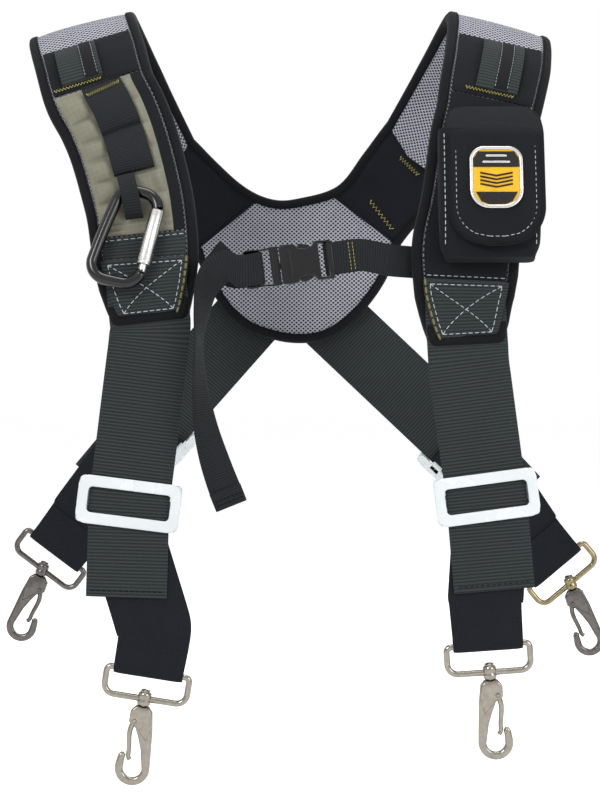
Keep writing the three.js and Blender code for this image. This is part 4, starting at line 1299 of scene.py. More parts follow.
@dataclass
class PadBinding(PadPart):
    """The tape folded over the pad's rim, down one edge, across the front end and up the other."""

    thickness: float = 1.1
    corner: float = 7.0
    rows: int = 130
    corner_rows: int = 10
    strap_lift: float = 4.3

    def rim(self) -> list[Frame]:
        """Return frames on the rim: a points inwards across the tape and n is the pad's outward normal.

        Returns:
            The frames, down one edge, across the front end and up the other.
        """
        pad = self.pad
        cut = pad.before_end(self.corner)
        ways = [PAD_START + (cut - PAD_START) * i / self.rows for i in range(self.rows + 1)]
        sides = []
        for sign in (-1, 1):
            sides.append([])
            for t in ways:
                f = pad.frame(t)
                sides[-1].append(Frame(f.at(sign * f.width / 2, 0), f.a * -sign, f.n, 0, f.along))
        last, end = pad.frame(cut), pad.frame(1.0)
        turn = []
        half = last.width / 2
        half_end = end.width / 2 + 4.0
        for sign in (-1, 1):
            part = []
            for i in range(1, self.corner_rows):
                angle = math.pi / 2 * i / self.corner_rows
                x = half_end - self.corner + (half - half_end + self.corner) * math.cos(angle)
                way = math.sin(angle)
                t = cut + (1.0 - cut) * way
                f = pad.frame(t)
                inward = (f.a * (-sign * math.cos(angle)) - f.along * math.sin(angle)).normalized()
                part.append(Frame(f.at(sign * x, 0), inward, f.n, 0, f.along))
            turn.append(part)
        straight = []
        reach = half_end - self.corner
        for i in range(9):
            x = -reach + 2 * reach * i / 8
            straight.append(Frame(end.at(x, 0), end.along * -1, end.n, 0, end.along))
        return with_runs(sides[0] + turn[0] + straight + turn[1][::-1] + sides[1][::-1])

    def build(self) -> bpy.types.Object:
        """Make the binding with the row of stitches that holds it.

        Returns:
            The stitches.
        """
        frames = self.rim()
        outer = [(6.4, 5.0), (4.6, 5.35), (2.4, 5.1), (0.8, 4.0), (0.0, 2.1), (-0.2, 0.0)]
        profile = outer + [(u, -v) for u, v in outer[-2::-1]]
        inner = [(6.3, -3.95), (4.2, -4.1), (2.5, -3.8), (1.6, -2.4), (1.25, 0.0)]
        profile += inner + [(u, -v) for u, v in inner[-2::-1]]
        rings = []
        end = self.pad.frame(1.0)
        for f in frames:
            swell = 1 + 0.035 * lumps(f.p, 9, 3.0)
            over = self.strap_lift * (1 - smoothstep(3, 26, (end.p - f.p).dot(end.along)))
            rings.append([f.at(u, v * swell + over * smoothstep(0, 2, v)) for u, v in profile])
        around = [0.0]
        for (u0, v0), (u1, v1) in zip(profile, profile[1:]):
            around.append(around[-1] + math.hypot(u1 - u0, v1 - v0))
        maker = MeshMaker()
        maker.loft(rings, around, [f.run for f in frames])
        name = side_name(self.side)
        sew(maker, f"{name}_edge_binding", "root", BINDING_TAPE, f"{name}_pad_binding", sharp=60)
        thread = MeshMaker()
        for face in (1, -1):
            over = [self.strap_lift * (1 - smoothstep(3, 26, (end.p - f.p).dot(end.along))) for f in frames]
            points = [f.at(5.4, face * 5.2 + (lift if face > 0 else 0)) for f, lift in zip(frames, over)]
            BINDING_SEAM.add_to(thread, points, [f.n * face for f in frames])
        return sew(thread, f"{name}_binding_stitches", "root", DARK_THREAD)


PAD_START = 0.009


@dataclass
class TopPanel(PadPart):
    """The black cloth panel at the top of the front, its bartack and the loop of label tape."""

    top: float = -12
    bottom: float = -42
    label_top: float = -14
    label_bottom: float = -39
    label_shift: float = -8
    label_width: float = 27

    def build(self) -> None:
        """Make the panel, the loop and their stitches."""
        pad, name = self.pad, side_name(self.side)
        frames = self.between(self.top, self.bottom, 30)

        def height(x: float, way: float) -> float:
            """Return how high the cloth stands, a little softer at its edges."""
            soft = (1 - x ** 8) * min(1, 12 * way, 12 * (1 - way))
            return PANEL_LOW + 0.75 + 0.7 * soft

        maker = MeshMaker()
        self.patch(maker, frames, PANEL_LOW + 0.1, height, 14)
        sew(maker, f"{name}_shoulder_panel", "root", PANEL_CLOTH, f"{name}_top_panel")
        self.loop()
        thread = MeshMaker()
        f = pad.frame(pad.at(self.label_bottom - 1.2))
        half = self.label_width / 2 + 6
        add_bartack(thread, f.at(self.label_shift - half, 6.6), f.at(self.label_shift + half - 8, 6.6), f.n,
                    2.0, 15)
        sew(thread, f"{name}_label_bartack", "root", YELLOW_THREAD)

    def loop(self) -> None:
        """Make the two-tone loop: ribbed tape with a smooth strip beside it, and no lettering."""
        pad, name = self.pad, side_name(self.side)
        t0, t1 = pad.at(self.label_top), pad.at(self.label_bottom)
        frames = pad.frames(t0, t1, 28)
        for f in frames:
            f.width = self.label_width

        def stand(run: float) -> float:
            """Return how far the label loop stands from the pad at a distance along it."""
            way = run / frames[-1].run
            return 7.0 + 3.0 * math.sin(math.pi * way) ** 0.6

        middle = []
        for f in frames:
            middle.append(Frame(f.at(self.label_shift, stand(f.run)), f.a, f.n, f.width, f.along, f.run))
        maker = MeshMaker()
        Band(1.1, 12, sag=0.25, seed=2.0).add_to(maker, middle)
        sew(maker, f"{name}_loop_tape", "root", WEBBING, f"{name}_label_loop")
        strip = [Frame(f.at(-self.side.value * 2 + 4.5, 0.95), f.a, f.n, 9.0, f.along, f.run) for f in middle]
        maker = MeshMaker()
        Band(0.35, 6).add_to(maker, strip[1:-1])
        sew(maker, f"{name}_loop_strip", "root", LABEL_TAPE)
        thread = MeshMaker()
        for edge in (-4.0, 4.0):
            points = [f.at(edge, 0.2) for f in strip[2:-2]]
            Seam(1.6, 0.8, 0.35).add_to(thread, points, [f.n for f in strip[2:-2]])
        sew(thread, f"{name}_loop_stitches", "root", PALE_THREAD)


@dataclass
class RipstopPanel(PadPart):
    """The quilted ripstop panel under the daisy chain, puffed between its sewn lines."""

    top: float = -43
    bottom: float = -139
    seams: tuple[float, ...] = (-45, -74, -102, -131)
    puff: float = 4.4
    margin: float = 7.0

    def build(self) -> None:
        """Make the quilted cloth."""
        name = side_name(self.side)
        frames = self.between(self.top, self.bottom, 150)
        lines = [self.top, *self.seams, self.bottom]
        marks = sorted({(a + b) / 2 for a, b in zip(lines, lines[1:])} | set(lines), reverse=True)

        def height(x: float, way: float) -> float:
            """Find how high the gathered cloth stands.

            Args:
                x: Across, from -1 to 1.
                way: Along, from 0 to 1.

            Returns:
                The height, pinched at each mark and wrinkled between them.
            """
            f = frames[round(way * (len(frames) - 1))]
            z = f.p.z
            near = min(abs(z - mark) for mark in marks)
            swell = (1 - math.exp(-near / 2.8)) * (1 - abs(x) ** 6)
            centre = 0.24 + 0.76 * smoothstep(0.42, 0.68, abs(x - 0.2))
            wrinkle = 0.9 * lumps(f.at(x * 26, 0), 8.5, 4.0) + 0.45 * lumps(f.at(x * 26, 0), 4.0, 7.0)
            return PANEL_LOW + 0.6 + self.puff * swell * centre + wrinkle * swell * centre

        ground = MeshMaker()
        self.patch(ground, frames, PANEL_LOW + 0.1, lambda x, way: PANEL_LOW + 0.5, 12)
        sew(ground, "ripstop_ground", "root", PANEL_CLOTH)
        for f in frames:
            f.width -= self.margin
        maker = MeshMaker()
        self.patch(maker, frames, PANEL_LOW + 0.2, height, 56, -self.margin / 2)
        item = sew(maker, "quilted_ripstop", "root", RIPSTOP_CLOTH, f"{name}_ripstop_panel", sharp=80)


@dataclass
class DaisyChain(PadPart):
    """The three webbing loops down the middle of the ripstop, with the bartacks between them."""

    loops: tuple[tuple[float, float, float, float, float], ...] = (
        (-44, -73.6, 26, 2, 3.4), (-73.8, -101.6, 26, 2, 3.4), (-101.8, -130, 11, -4.0, 10.0))
    foot: float = 7.6
    thickness: float = 1.2

    def build(self) -> None:
        """Make the loops and the thread that divides them."""
        pad = self.pad
        thread = MeshMaker()
        for index, (top, bottom, width, shift, rise) in enumerate(self.loops):
            frames = pad.frames(pad.at(top), pad.at(bottom), 34)
            middle = []
            for f in frames:
                way = f.run / frames[-1].run
                late = way ** 1.5 if index < 2 else way
                lift = self.foot + 0.6 + rise * max(math.sin(math.pi * late), 0.0) ** 0.55
                middle.append(Frame(f.at(shift, lift), f.a, f.n, width, f.along, f.run))
            maker = MeshMaker()
            Band(self.thickness, 12, sag=0.5, seed=5.0 + index).add_to(maker, middle)
            sew(maker, f"daisy_webbing_{index + 1}", "root", CHEST_WEBBING, f"daisy_loop_{index + 1}")
            if index == 0:
                tack = middle[6]
            for z, finish_half in ((top - 1.2, width / 2 - 1), (bottom + 1.2, width / 2 - 1)):
                f = pad.frame(pad.at(z))
                lift = self.foot + 1.4
                add_bartack(thread, f.at(shift - finish_half, lift), f.at(shift + finish_half, lift), f.n,
                            1.5, 11)
        sew(thread, "daisy_bartacks", "root", DARK_THREAD)
        yellow = MeshMaker()
        add_bartack(yellow, tack.at(-11, 0.8), tack.at(11, 0.8), tack.n, 2.2, 17)
        sew(yellow, "daisy_top_bartack", "root", YELLOW_THREAD)


@dataclass
class LowerBand(PadPart):
    """The ribbed band sewn across the pad below the daisy chain."""

    top: float = -140
    bottom: float = -157

    def build(self) -> None:
        """Make the band and its two rows of pale stitches."""
        frames = self.between(self.top, self.bottom, 24)
        maker = MeshMaker()
        self.patch(maker, frames, PANEL_LOW + 0.1, lambda x, way: PANEL_LOW + 1.1 + 0.5 * (1 - x ** 8), 12)
        sew(maker, "cross_band", "root", WEBBING, "left_webbing_band")
        thread = MeshMaker()
        for z in (self.top - 2.0, self.bottom + 2.2):
            self.cross_seam(thread, z, PANEL_LOW + 1.65)
        sew(thread, "cross_band_stitches", "root", PALE_THREAD)


@dataclass
class FrontPanel(PadPart):
    """The plain black cloth panel behind the pouch."""

    top: float = -53
    bottom: float = -172
    seam: float = -166

    def build(self) -> None:
        """Make the panel with its cross stitch line."""
        frames = self.between(self.top, self.bottom, 110)

        def height(x: float, way: float) -> float:
            """Return how high the slightly rumpled cloth stands."""
            f = frames[round(way * (len(frames) - 1))]
            return PANEL_LOW + 0.8 + (0.55 + 0.35 * lumps(f.at(x * 26, 0), 16, 9.0)) * (1 - x ** 8)

        maker = MeshMaker()
        self.patch(maker, frames, PANEL_LOW + 0.1, height, 30)
        sew(maker, "front_cloth_panel", "root", PANEL_CLOTH, "right_front_panel", sharp=80)
        thread = MeshMaker()
        self.cross_seam(thread, self.seam, PANEL_LOW + 1.55)
        sew(thread, "front_panel_stitches", "root", PALE_THREAD)


@dataclass
class AnchorPatch(PadPart):
    """The box-and-cross patch that sews the front strap to its pad."""

    length: float = 40
    low: float = 8.2
    thickness: float = 1.2

    def build(self) -> None:
        """Make the patch, its stitches and its coloured selvedge."""
        pad, name = self.pad, side_name(self.side)
        frames = pad.frames(pad.before_end(self.length), pad.before_end(4.5), 34)
        middle = [Frame(f.at(0, self.low + self.thickness / 2), f.a, f.n, f.width - 11, f.along, f.run)
                  for f in frames]
        maker = MeshMaker()
        Band(self.thickness, 14, sag=0.35, seed=11.0).add_to(maker, middle)
        sew(maker, f"{name}_box_patch", "root", WEBBING, f"{name}_anchor_patch")
        seam = Seam(2.5, 1.3, 0.6)
        thread = MeshMaker()
        lift = self.thickness / 2 + 0.1
        left, right, top, bottom = -1.0, 1.0, 2.5, frames[-1].run - 3.0

        def on(x: float, run: float) -> tuple[Vector, Vector]:
            """Return a point on the webbing's face and its normal."""
            index = min(range(len(middle)), key=lambda i: abs(middle[i].run - run))
            f = middle[index]
            return f.at(x * (f.width / 2 - 4.2), lift) + f.along * (run - f.run), f.n

        lines = [((left, top), (right, top)), ((right, top), (right, bottom)),
                 ((right, bottom), (left, bottom)),
                 ((left, bottom), (left, top)), ((left, top), (right, bottom)),
                 ((left, bottom), (right, top))]
        for (x0, r0), (x1, r1) in lines:
            spots = [on(x0 + (x1 - x0) * i / 16, r0 + (r1 - r0) * i / 16) for i in range(17)]
            seam.add_to(thread, [p for p, _ in spots], [n for _, n in spots])
        sew(thread, f"{name}_box_stitches", "root", PALE_THREAD)
        edge = 1 if self.side is Side.LEFT else -1
        strip = [f.at(edge * (f.width / 2 - 1.3), self.thickness / 2 - 0.1) for f in middle]
        maker = MeshMaker()
        Seam(3.4, 1.2, 1.5).add_to(maker, strip, [f.n for f in middle])
        sew(maker, f"{name}_selvedge", "root", OLIVE_THREAD)


def build_pads() -> None:
    """Make both shoulder pads and everything sewn on them."""
    for side in Side:
        PadBody(side).build()
        PadBinding(side).build()
    TopPanel(Side.LEFT).build()
    TopPanel(Side.RIGHT, bottom=-52, label_bottom=-48, label_shift=2).build()
    RipstopPanel(Side.LEFT).build()
    DaisyChain(Side.LEFT).build()
    LowerBand(Side.LEFT).build()
    FrontPanel(Side.RIGHT).build()
    AnchorPatch(Side.LEFT).build()
    AnchorPatch(Side.RIGHT).build()


# ---- yoke ----


YOKE_DEPTH = 85.0
YOKE_LEAN = 15.0
HALF_YOKE = 4.0
NECKLINE: Outline = [(-79, -53), (-73, -59), (-58, -74), (-42, -88), (-29, -95.5), (-15, -99), (0, -97.5),
                     (27, -89),
                     (45, -67), (57, -51), (62, -44.5)]
YOKE_HEM: Outline = [(108.5, -90), (103, -96), (92, -108), (78, -123), (68, -138), (63, -153), (50, -173),
                     (33, -190),
                     (16, -199), (-3, -201), (-21, -198), (-39, -191), (-54, -178), (-64, -162.5),
                     (-73, -143), (-82, -126), (-99, -116), (-117, -104), (-124, -99.5)]
MESH_EDGES = {Side.LEFT: ((-36, -104), (-72, -133)), Side.RIGHT: ((72, -133), (25, -98))}


def yoke_depth_at(z: float) -> float:
    """Return how far back the yoke's middle surface stands at a height."""
    return YOKE_DEPTH - YOKE_LEAN * smoothstep(0, 1, (z + 130) / YOKE_DEPTH)


def smooth_line(points: Outline, count: int) -> list[Vector]:
    """Return evenly spaced points on a smooth curve through an outline, in XZ.

    Args:
        points: The outline.
        count: How many steps the line has.

    Returns:
        The points of the line, one more than its steps.
    """
    spline = Spline([Vector((x, 0, z)) for x, z in points])
    dense = spline.samples(len(points) * 12)
    runs = [0.0]
    for before, after in zip(dense, dense[1:]):
        runs.append(runs[-1] + (after - before).length)
    result, index = [], 0
    for i in range(count + 1):
        run = runs[-1] * i / count
        while index < len(runs) - 2 and runs[index + 1] < run:
            index += 1
        way = (run - runs[index]) / max(runs[index + 1] - runs[index], 1e-9)
        result.append(dense[index].lerp(dense[index + 1], min(way, 1.0)))
    return result


@dataclass
class Yoke:
    """The mesh back yoke between the pads, with its cloth wings and bound edges."""

    columns: int = 150
    rows: int = 60
    inset: float = 2.2
    puff_out: float = 2.2
    puff_in: float = 2.6
    edge: float = 3.2

    def surface(self) -> bpy.types.Mesh:
        """Return the closed, puffed slab between the neckline and the hem, in metres.

        Returns:
            The mesh, in metres.
        """
        top = self._inside(smooth_line(NECKLINE, self.columns))
        bottom = self._inside(smooth_line(YOKE_HEM, self.columns))[::-1]
        maker = MeshMaker()
        index: dict[tuple[int, int, int], int] = {}
        for sign in (1, -1):
            for j in range(self.rows + 1):
                for i in range(self.columns + 1):
                    way, across = j / self.rows, i / self.columns
                    index[sign, j, i] = len(maker.points)
                    maker.points.append(self._puffed(top[i].lerp(bottom[i], way), way, across, sign))

        def face(*corners: tuple[int, int, int]) -> None:
            """Add a face between grid points given as (sign, row, column)."""
            spots = [index[c] for c in corners]
            maker.faces.append(tuple(spots))
            maker.uvs.append([(maker.points[v].x, maker.points[v].z) for v in spots])

        rows, columns = self.rows, self.columns
        for j in range(rows):
            for i in range(columns):
                face((1, j, i), (1, j + 1, i), (1, j + 1, i + 1), (1, j, i + 1))
                face((-1, j, i), (-1, j, i + 1), (-1, j + 1, i + 1), (-1, j + 1, i))
        for i in range(columns):
            face((1, 0, i), (1, 0, i + 1), (-1, 0, i + 1), (-1, 0, i))
            face((1, rows, i), (-1, rows, i), (-1, rows, i + 1), (1, rows, i + 1))
        for j in range(rows):
            face((1, j, 0), (-1, j, 0), (-1, j + 1, 0), (1, j + 1, 0))
            face((1, j, columns), (1, j + 1, columns), (-1, j + 1, columns), (-1, j, columns))
        mesh = maker.mesh("yoke")
        work = bmesh.new()
        work.from_mesh(mesh)
        bmesh.ops.recalc_face_normals(work, faces=work.faces)
        work.to_mesh(mesh)
        work.free()
        return mesh

    def _puffed(self, p: Vector, way: float, across: float, sign: int) -> Vector:
        """Return the point of one face of the slab above a point of its flat shape.

        Args:
            p: The point, in XZ.
            way: How far it lies from the neckline to the hem, from 0 to 1.
            across: How far it lies along the edges, from 0 to 1.
            sign: 1 for the face towards the front and -1 for the back.

        Returns:
            The point, in millimetres.
        """
        rim = smoothstep(0, 0.16, min(way, 1 - way)) * smoothstep(0, 0.06, min(across, 1 - across))
        puff = self.puff_in if sign > 0 else self.puff_out
        gather = math.exp(-((p.x - 5) / 22) ** 2 - ((p.z + 108) / 16) ** 2)
        crease = 1.1 * gather * math.sin(p.x / 2.6 + 0.9 * math.sin(p.z / 7))
        thick = self.edge + rim * (puff * self._seam(p) + 0.5 * lumps(p, 24, 2.0 + sign) + crease)
        return Vector((p.x, yoke_depth_at(p.z) - sign * thick, p.z))

    def _inside(self, line: list[Vector]) -> list[Vector]:
        """Return a line moved inwards from its edge, on its right-hand side.

        Args:
            line: The points of the edge.

        Returns:
            The moved points.
        """
        moved = []
        for i, p in enumerate(line):
            along = (line[min(i + 1, len(line) - 1)] - line[max(i - 1, 0)]).normalized()
            moved.append(Vector((p.x + along.z * self.inset, 0, p.z - along.x * self.inset)))
        return moved

    def _seam(self, p: Vector) -> float:
        """Return how far the padding is pinched by the seams at the mesh's edges.

        Args:
            p: A point, in XZ.

        Returns:
            1 away from the seams, less near them.
        """
        pinch = 1.0
        for (x0, z0), (x1, z1) in MESH_EDGES.values():
            along = Vector((x1 - x0, z1 - z0)).normalized()
            distance = abs(along.x * (p.z - z0) - along.y * (p.x - x0))
            pinch = min(pinch, 0.25 + 0.75 * smoothstep(0.5, 7, distance))
        return pinch

    def build(self) -> None:
        """Make the mesh panel, the wings, the bindings and the stitches."""
        whole = self.surface()
        panels = (("yoke_mesh_panel", SPACER_MESH, "yoke_pad", None),
                  ("left_wing", WING_CLOTH, "left_yoke_wing",
                  Side.LEFT), ("right_wing", WING_CLOTH, "right_yoke_wing", Side.RIGHT))
        for name, finish, node, side in panels:
            mesh = self._cut(whole, side)
            mesh.materials.append(FINISHES.get(finish))
            mesh.shade_smooth()
            mesh.set_sharp_from_angle(angle=math.radians(60))
            item = bpy.data.objects.new(name, mesh)
            bpy.context.scene.collection.objects.link(item)
            settle(item, "root", finish, node)
        bpy.data.meshes.remove(whole)
        for name, line, node in (("neck_binding", NECKLINE, "yoke_neck_binding"),
                                 ("hem_binding", YOKE_HEM, "yoke_hem_binding")):
            self._binding(name, smooth_line(line, 150), node)
        self._stitches()

    def _cut(self, whole: bpy.types.Mesh, side: Side | None) -> bpy.types.Mesh:
        """Return the middle of the yoke, or one wing, cut from the whole slab and closed.

        Args:
            whole: The whole slab.
            side: Which wing is cut out, or none for the mesh between them.

        Returns:
            The part.
        """
        work = bmesh.new()
        work.from_mesh(whole)
        for edge_side, ((x0, z0), (x1, z1)) in MESH_EDGES.items():
            if side is not None and side is not edge_side:
                continue
            along = Vector((x1 - x0, 0, z1 - z0)).normalized()
            left = Vector((-along.z, 0, along.x))
            keep = left if side is None else -left
            start = Vector((x0, 0, z0)) * MM + keep * (0.15 * MM)
            geometry = list(work.verts) + list(work.edges) + list(work.faces)
            cut = bmesh.ops.bisect_plane(work, geom=geometry, plane_co=start, plane_no=-keep,
                                         clear_outer=True)
            edges = [e for e in cut["geom_cut"] if isinstance(e, bmesh.types.BMEdge)]
            bmesh.ops.holes_fill(work, edges=edges)
        mesh = bpy.data.meshes.new("panel")
        work.to_mesh(mesh)
        work.free()
        return mesh

    def _binding(self, name: str, line: list[Vector], node: str) -> None:
        """Make one folded tape along an edge of the yoke.

        Args:
            name: The piece's name.
            line: The edge that it wraps.
            node: The CAD node that it stands for.
        """
        outer = [(6.4, 4.5), (4.4, 4.95), (2.2, 4.7), (0.8, 3.6), (0.0, 1.9), (-0.2, 0.0)]
        profile = outer + [(u, -v) for u, v in outer[-2::-1]]
        inner = [(6.3, -3.6), (4.2, -3.8), (2.5, -3.4), (1.7, -2.0), (1.35, 0.0)]
        profile += inner + [(u, -v) for u, v in inner[-2::-1]]
        rings, frames = [], []
        for i, q in enumerate(line):
            along = (line[min(i + 1, len(line) - 1)] - line[max(i - 1, 0)]).normalized()
            inward = Vector((along.z, 0, -along.x))
            p = Vector((q.x, 0, q.z))
            ring = []
            for u, v in profile:
                spot = p + inward * u
                ring.append(Vector((spot.x, yoke_depth_at(spot.z) - v * (1 + 0.04 * lumps(spot, 9, 8.0)),
                                    spot.z)))
            rings.append(ring)
            spot = p + inward * 5.4
            frames.append((Vector((spot.x, yoke_depth_at(spot.z) - 4.75, spot.z)),
                           Vector((spot.x, yoke_depth_at(spot.z) + 4.75, spot.z))))
        runs = [0.0]
        for before, after in zip(line, line[1:]):
            runs.append(runs[-1] + (after - before).length)
        around = [0.0]
        for (u0, v0), (u1, v1) in zip(profile, profile[1:]):
            around.append(around[-1] + math.hypot(u1 - u0, v1 - v0))
        maker = MeshMaker()
        maker.loft(rings, around, runs)
        sew(maker, name, "root", BINDING_TAPE, node, sharp=60)
        thread = MeshMaker()
        BINDING_SEAM.add_to(thread, [f for f, _ in frames], [Vector((0, -1, 0))] * len(frames))
        BINDING_SEAM.add_to(thread, [b for _, b in frames], [Vector((0, 1, 0))] * len(frames))
        sew(thread, f"{name}_stitches", "root", DARK_THREAD)

    def _stitches(self) -> None:
        """Sew the mesh to the wings and tack the right wing with yellow thread."""
        pale = MeshMaker()
        front = Vector((0, -1, 0))
        for (x0, z0), (x1, z1) in MESH_EDGES.values():
            along = Vector((x1 - x0, 0, z1 - z0)).normalized()
            away = Vector((along.z, 0, -along.x)) * 2.0
            points = []
            for i in range(31):
                p = Vector((x0, 0, z0)).lerp(Vector((x1, 0, z1)), 0.03 + 0.94 * i / 30) + away
                points.append(Vector((p.x, yoke_depth_at(p.z) - self.edge - self.puff_in * 0.36, p.z)))
            Seam(2.2, 1.4, 0.5).add_to(pale, points, [front] * 31)
        sew(pale, "wing_stitches", "root", DARK_THREAD)
        yellow = MeshMaker()
        for (x0, z0), (x1, z1) in (((71, -70), (84, -82)), ((50, -100), (66, -120))):
            ends = [Vector((x, yoke_depth_at(z) - self.edge - self.puff_in - 0.3, z))
                    for x, z in ((x0, z0), (x1, z1))]
            add_bartack(yellow, ends[0], ends[1], front, 2.6, 8)
        sew(yellow, "wing_bartacks", "root", YELLOW_THREAD)


# ---- straps and hooks ----


@dataclass(frozen=True)
class StrapSpec:
    """Where one strap runs. Points are (x, z) in millimetres and angles are in degrees."""

    name: str
    face: Face
    start: tuple[float, float]
    slider: tuple[float, float]
    ring: tuple[float, float]
    ring_lean: float
    hook_lean: float
    gate: int
    metal: Finish
    loop_metal: Finish


STRAPS = (
    StrapSpec("front_left", Face.FRONT, (-93.4, -207), (-105.7, -306), (-94, -410.6), 9, 10, -1, CAST_NICKEL,
              CAST_NICKEL),
    StrapSpec("front_right", Face.FRONT, (104.4, -220), (115.3, -302), (116.6, -394), -4, -5, 1, CAST_NICKEL,
              CAST_NICKEL),
    StrapSpec("back_left", Face.BACK, (-36, -181), (-106, -260), (-175.5, -350.5), 37, 20, 1, DARK_NICKEL,
              DARK_NICKEL),
    StrapSpec("back_right", Face.BACK, (22, -183), (116, -272), (184, -361), -40, -18, -1, DARK_NICKEL,
              BRASSY_NICKEL),
)

HALF_WEBBING = 0.7
STRAP_PLANE = {Face.FRONT: -88 - STRAP_LOW - HALF_WEBBING,
               Face.BACK: YOKE_DEPTH + HALF_YOKE + 1.2 + GAP + HALF_WEBBING}
ELASTIC_MIDDLE = 1.7
BAR_MIDDLE = 3.6
BAR_WRAP = 1.9
RING_WRAP = 3.16
RING_PLANE = 4.86
SEWN_GAP = 1.7
FREE_TAIL = 58.0
RING_DROP = 17.0
BOSS_HEIGHT = 8.4
HOOK_TOP = -BOSS_HEIGHT / 2 - GAP
HOOK_RADIUS = 8.25
HOOK_SEAT = HOOK_TOP - 50 + 2.75 + HOOK_RADIUS
GATE_PIVOT = (3.6, HOOK_TOP - 9.6)
NOSE = (HOOK_RADIUS - 0.4, HOOK_SEAT + 8)


def placement(x: float, y: float, z: float, face: Face, lean: float) -> Matrix:
    """Return the place of a piece of hardware that faces the front or the back, turned about Y.

    Args:
        x: How far to the right, seen from the front.
        y: How far back.
        z: How high.
        face: Which side it faces.
        lean: How far it leans, in degrees.

    Returns:
        The matrix.
    """
    turn = Matrix.Rotation(math.radians(lean), 4, "Y")
    about = Matrix.Rotation(math.pi if face is Face.BACK else 0.0, 4, "Z")
    return Matrix.Translation((x, y, z)) @ turn @ about


def half_turn(y: float, z: float, radius: float, start: float, end: float, count: int = 10) -> list[Vector]:
    """Return points on a half circle in a local YZ plane."""
    angles = [math.radians(start + (end - start) * i / count) for i in range(count + 1)]
    return [Vector((0, y + radius * math.cos(a), z + radius * math.sin(a))) for a in angles]


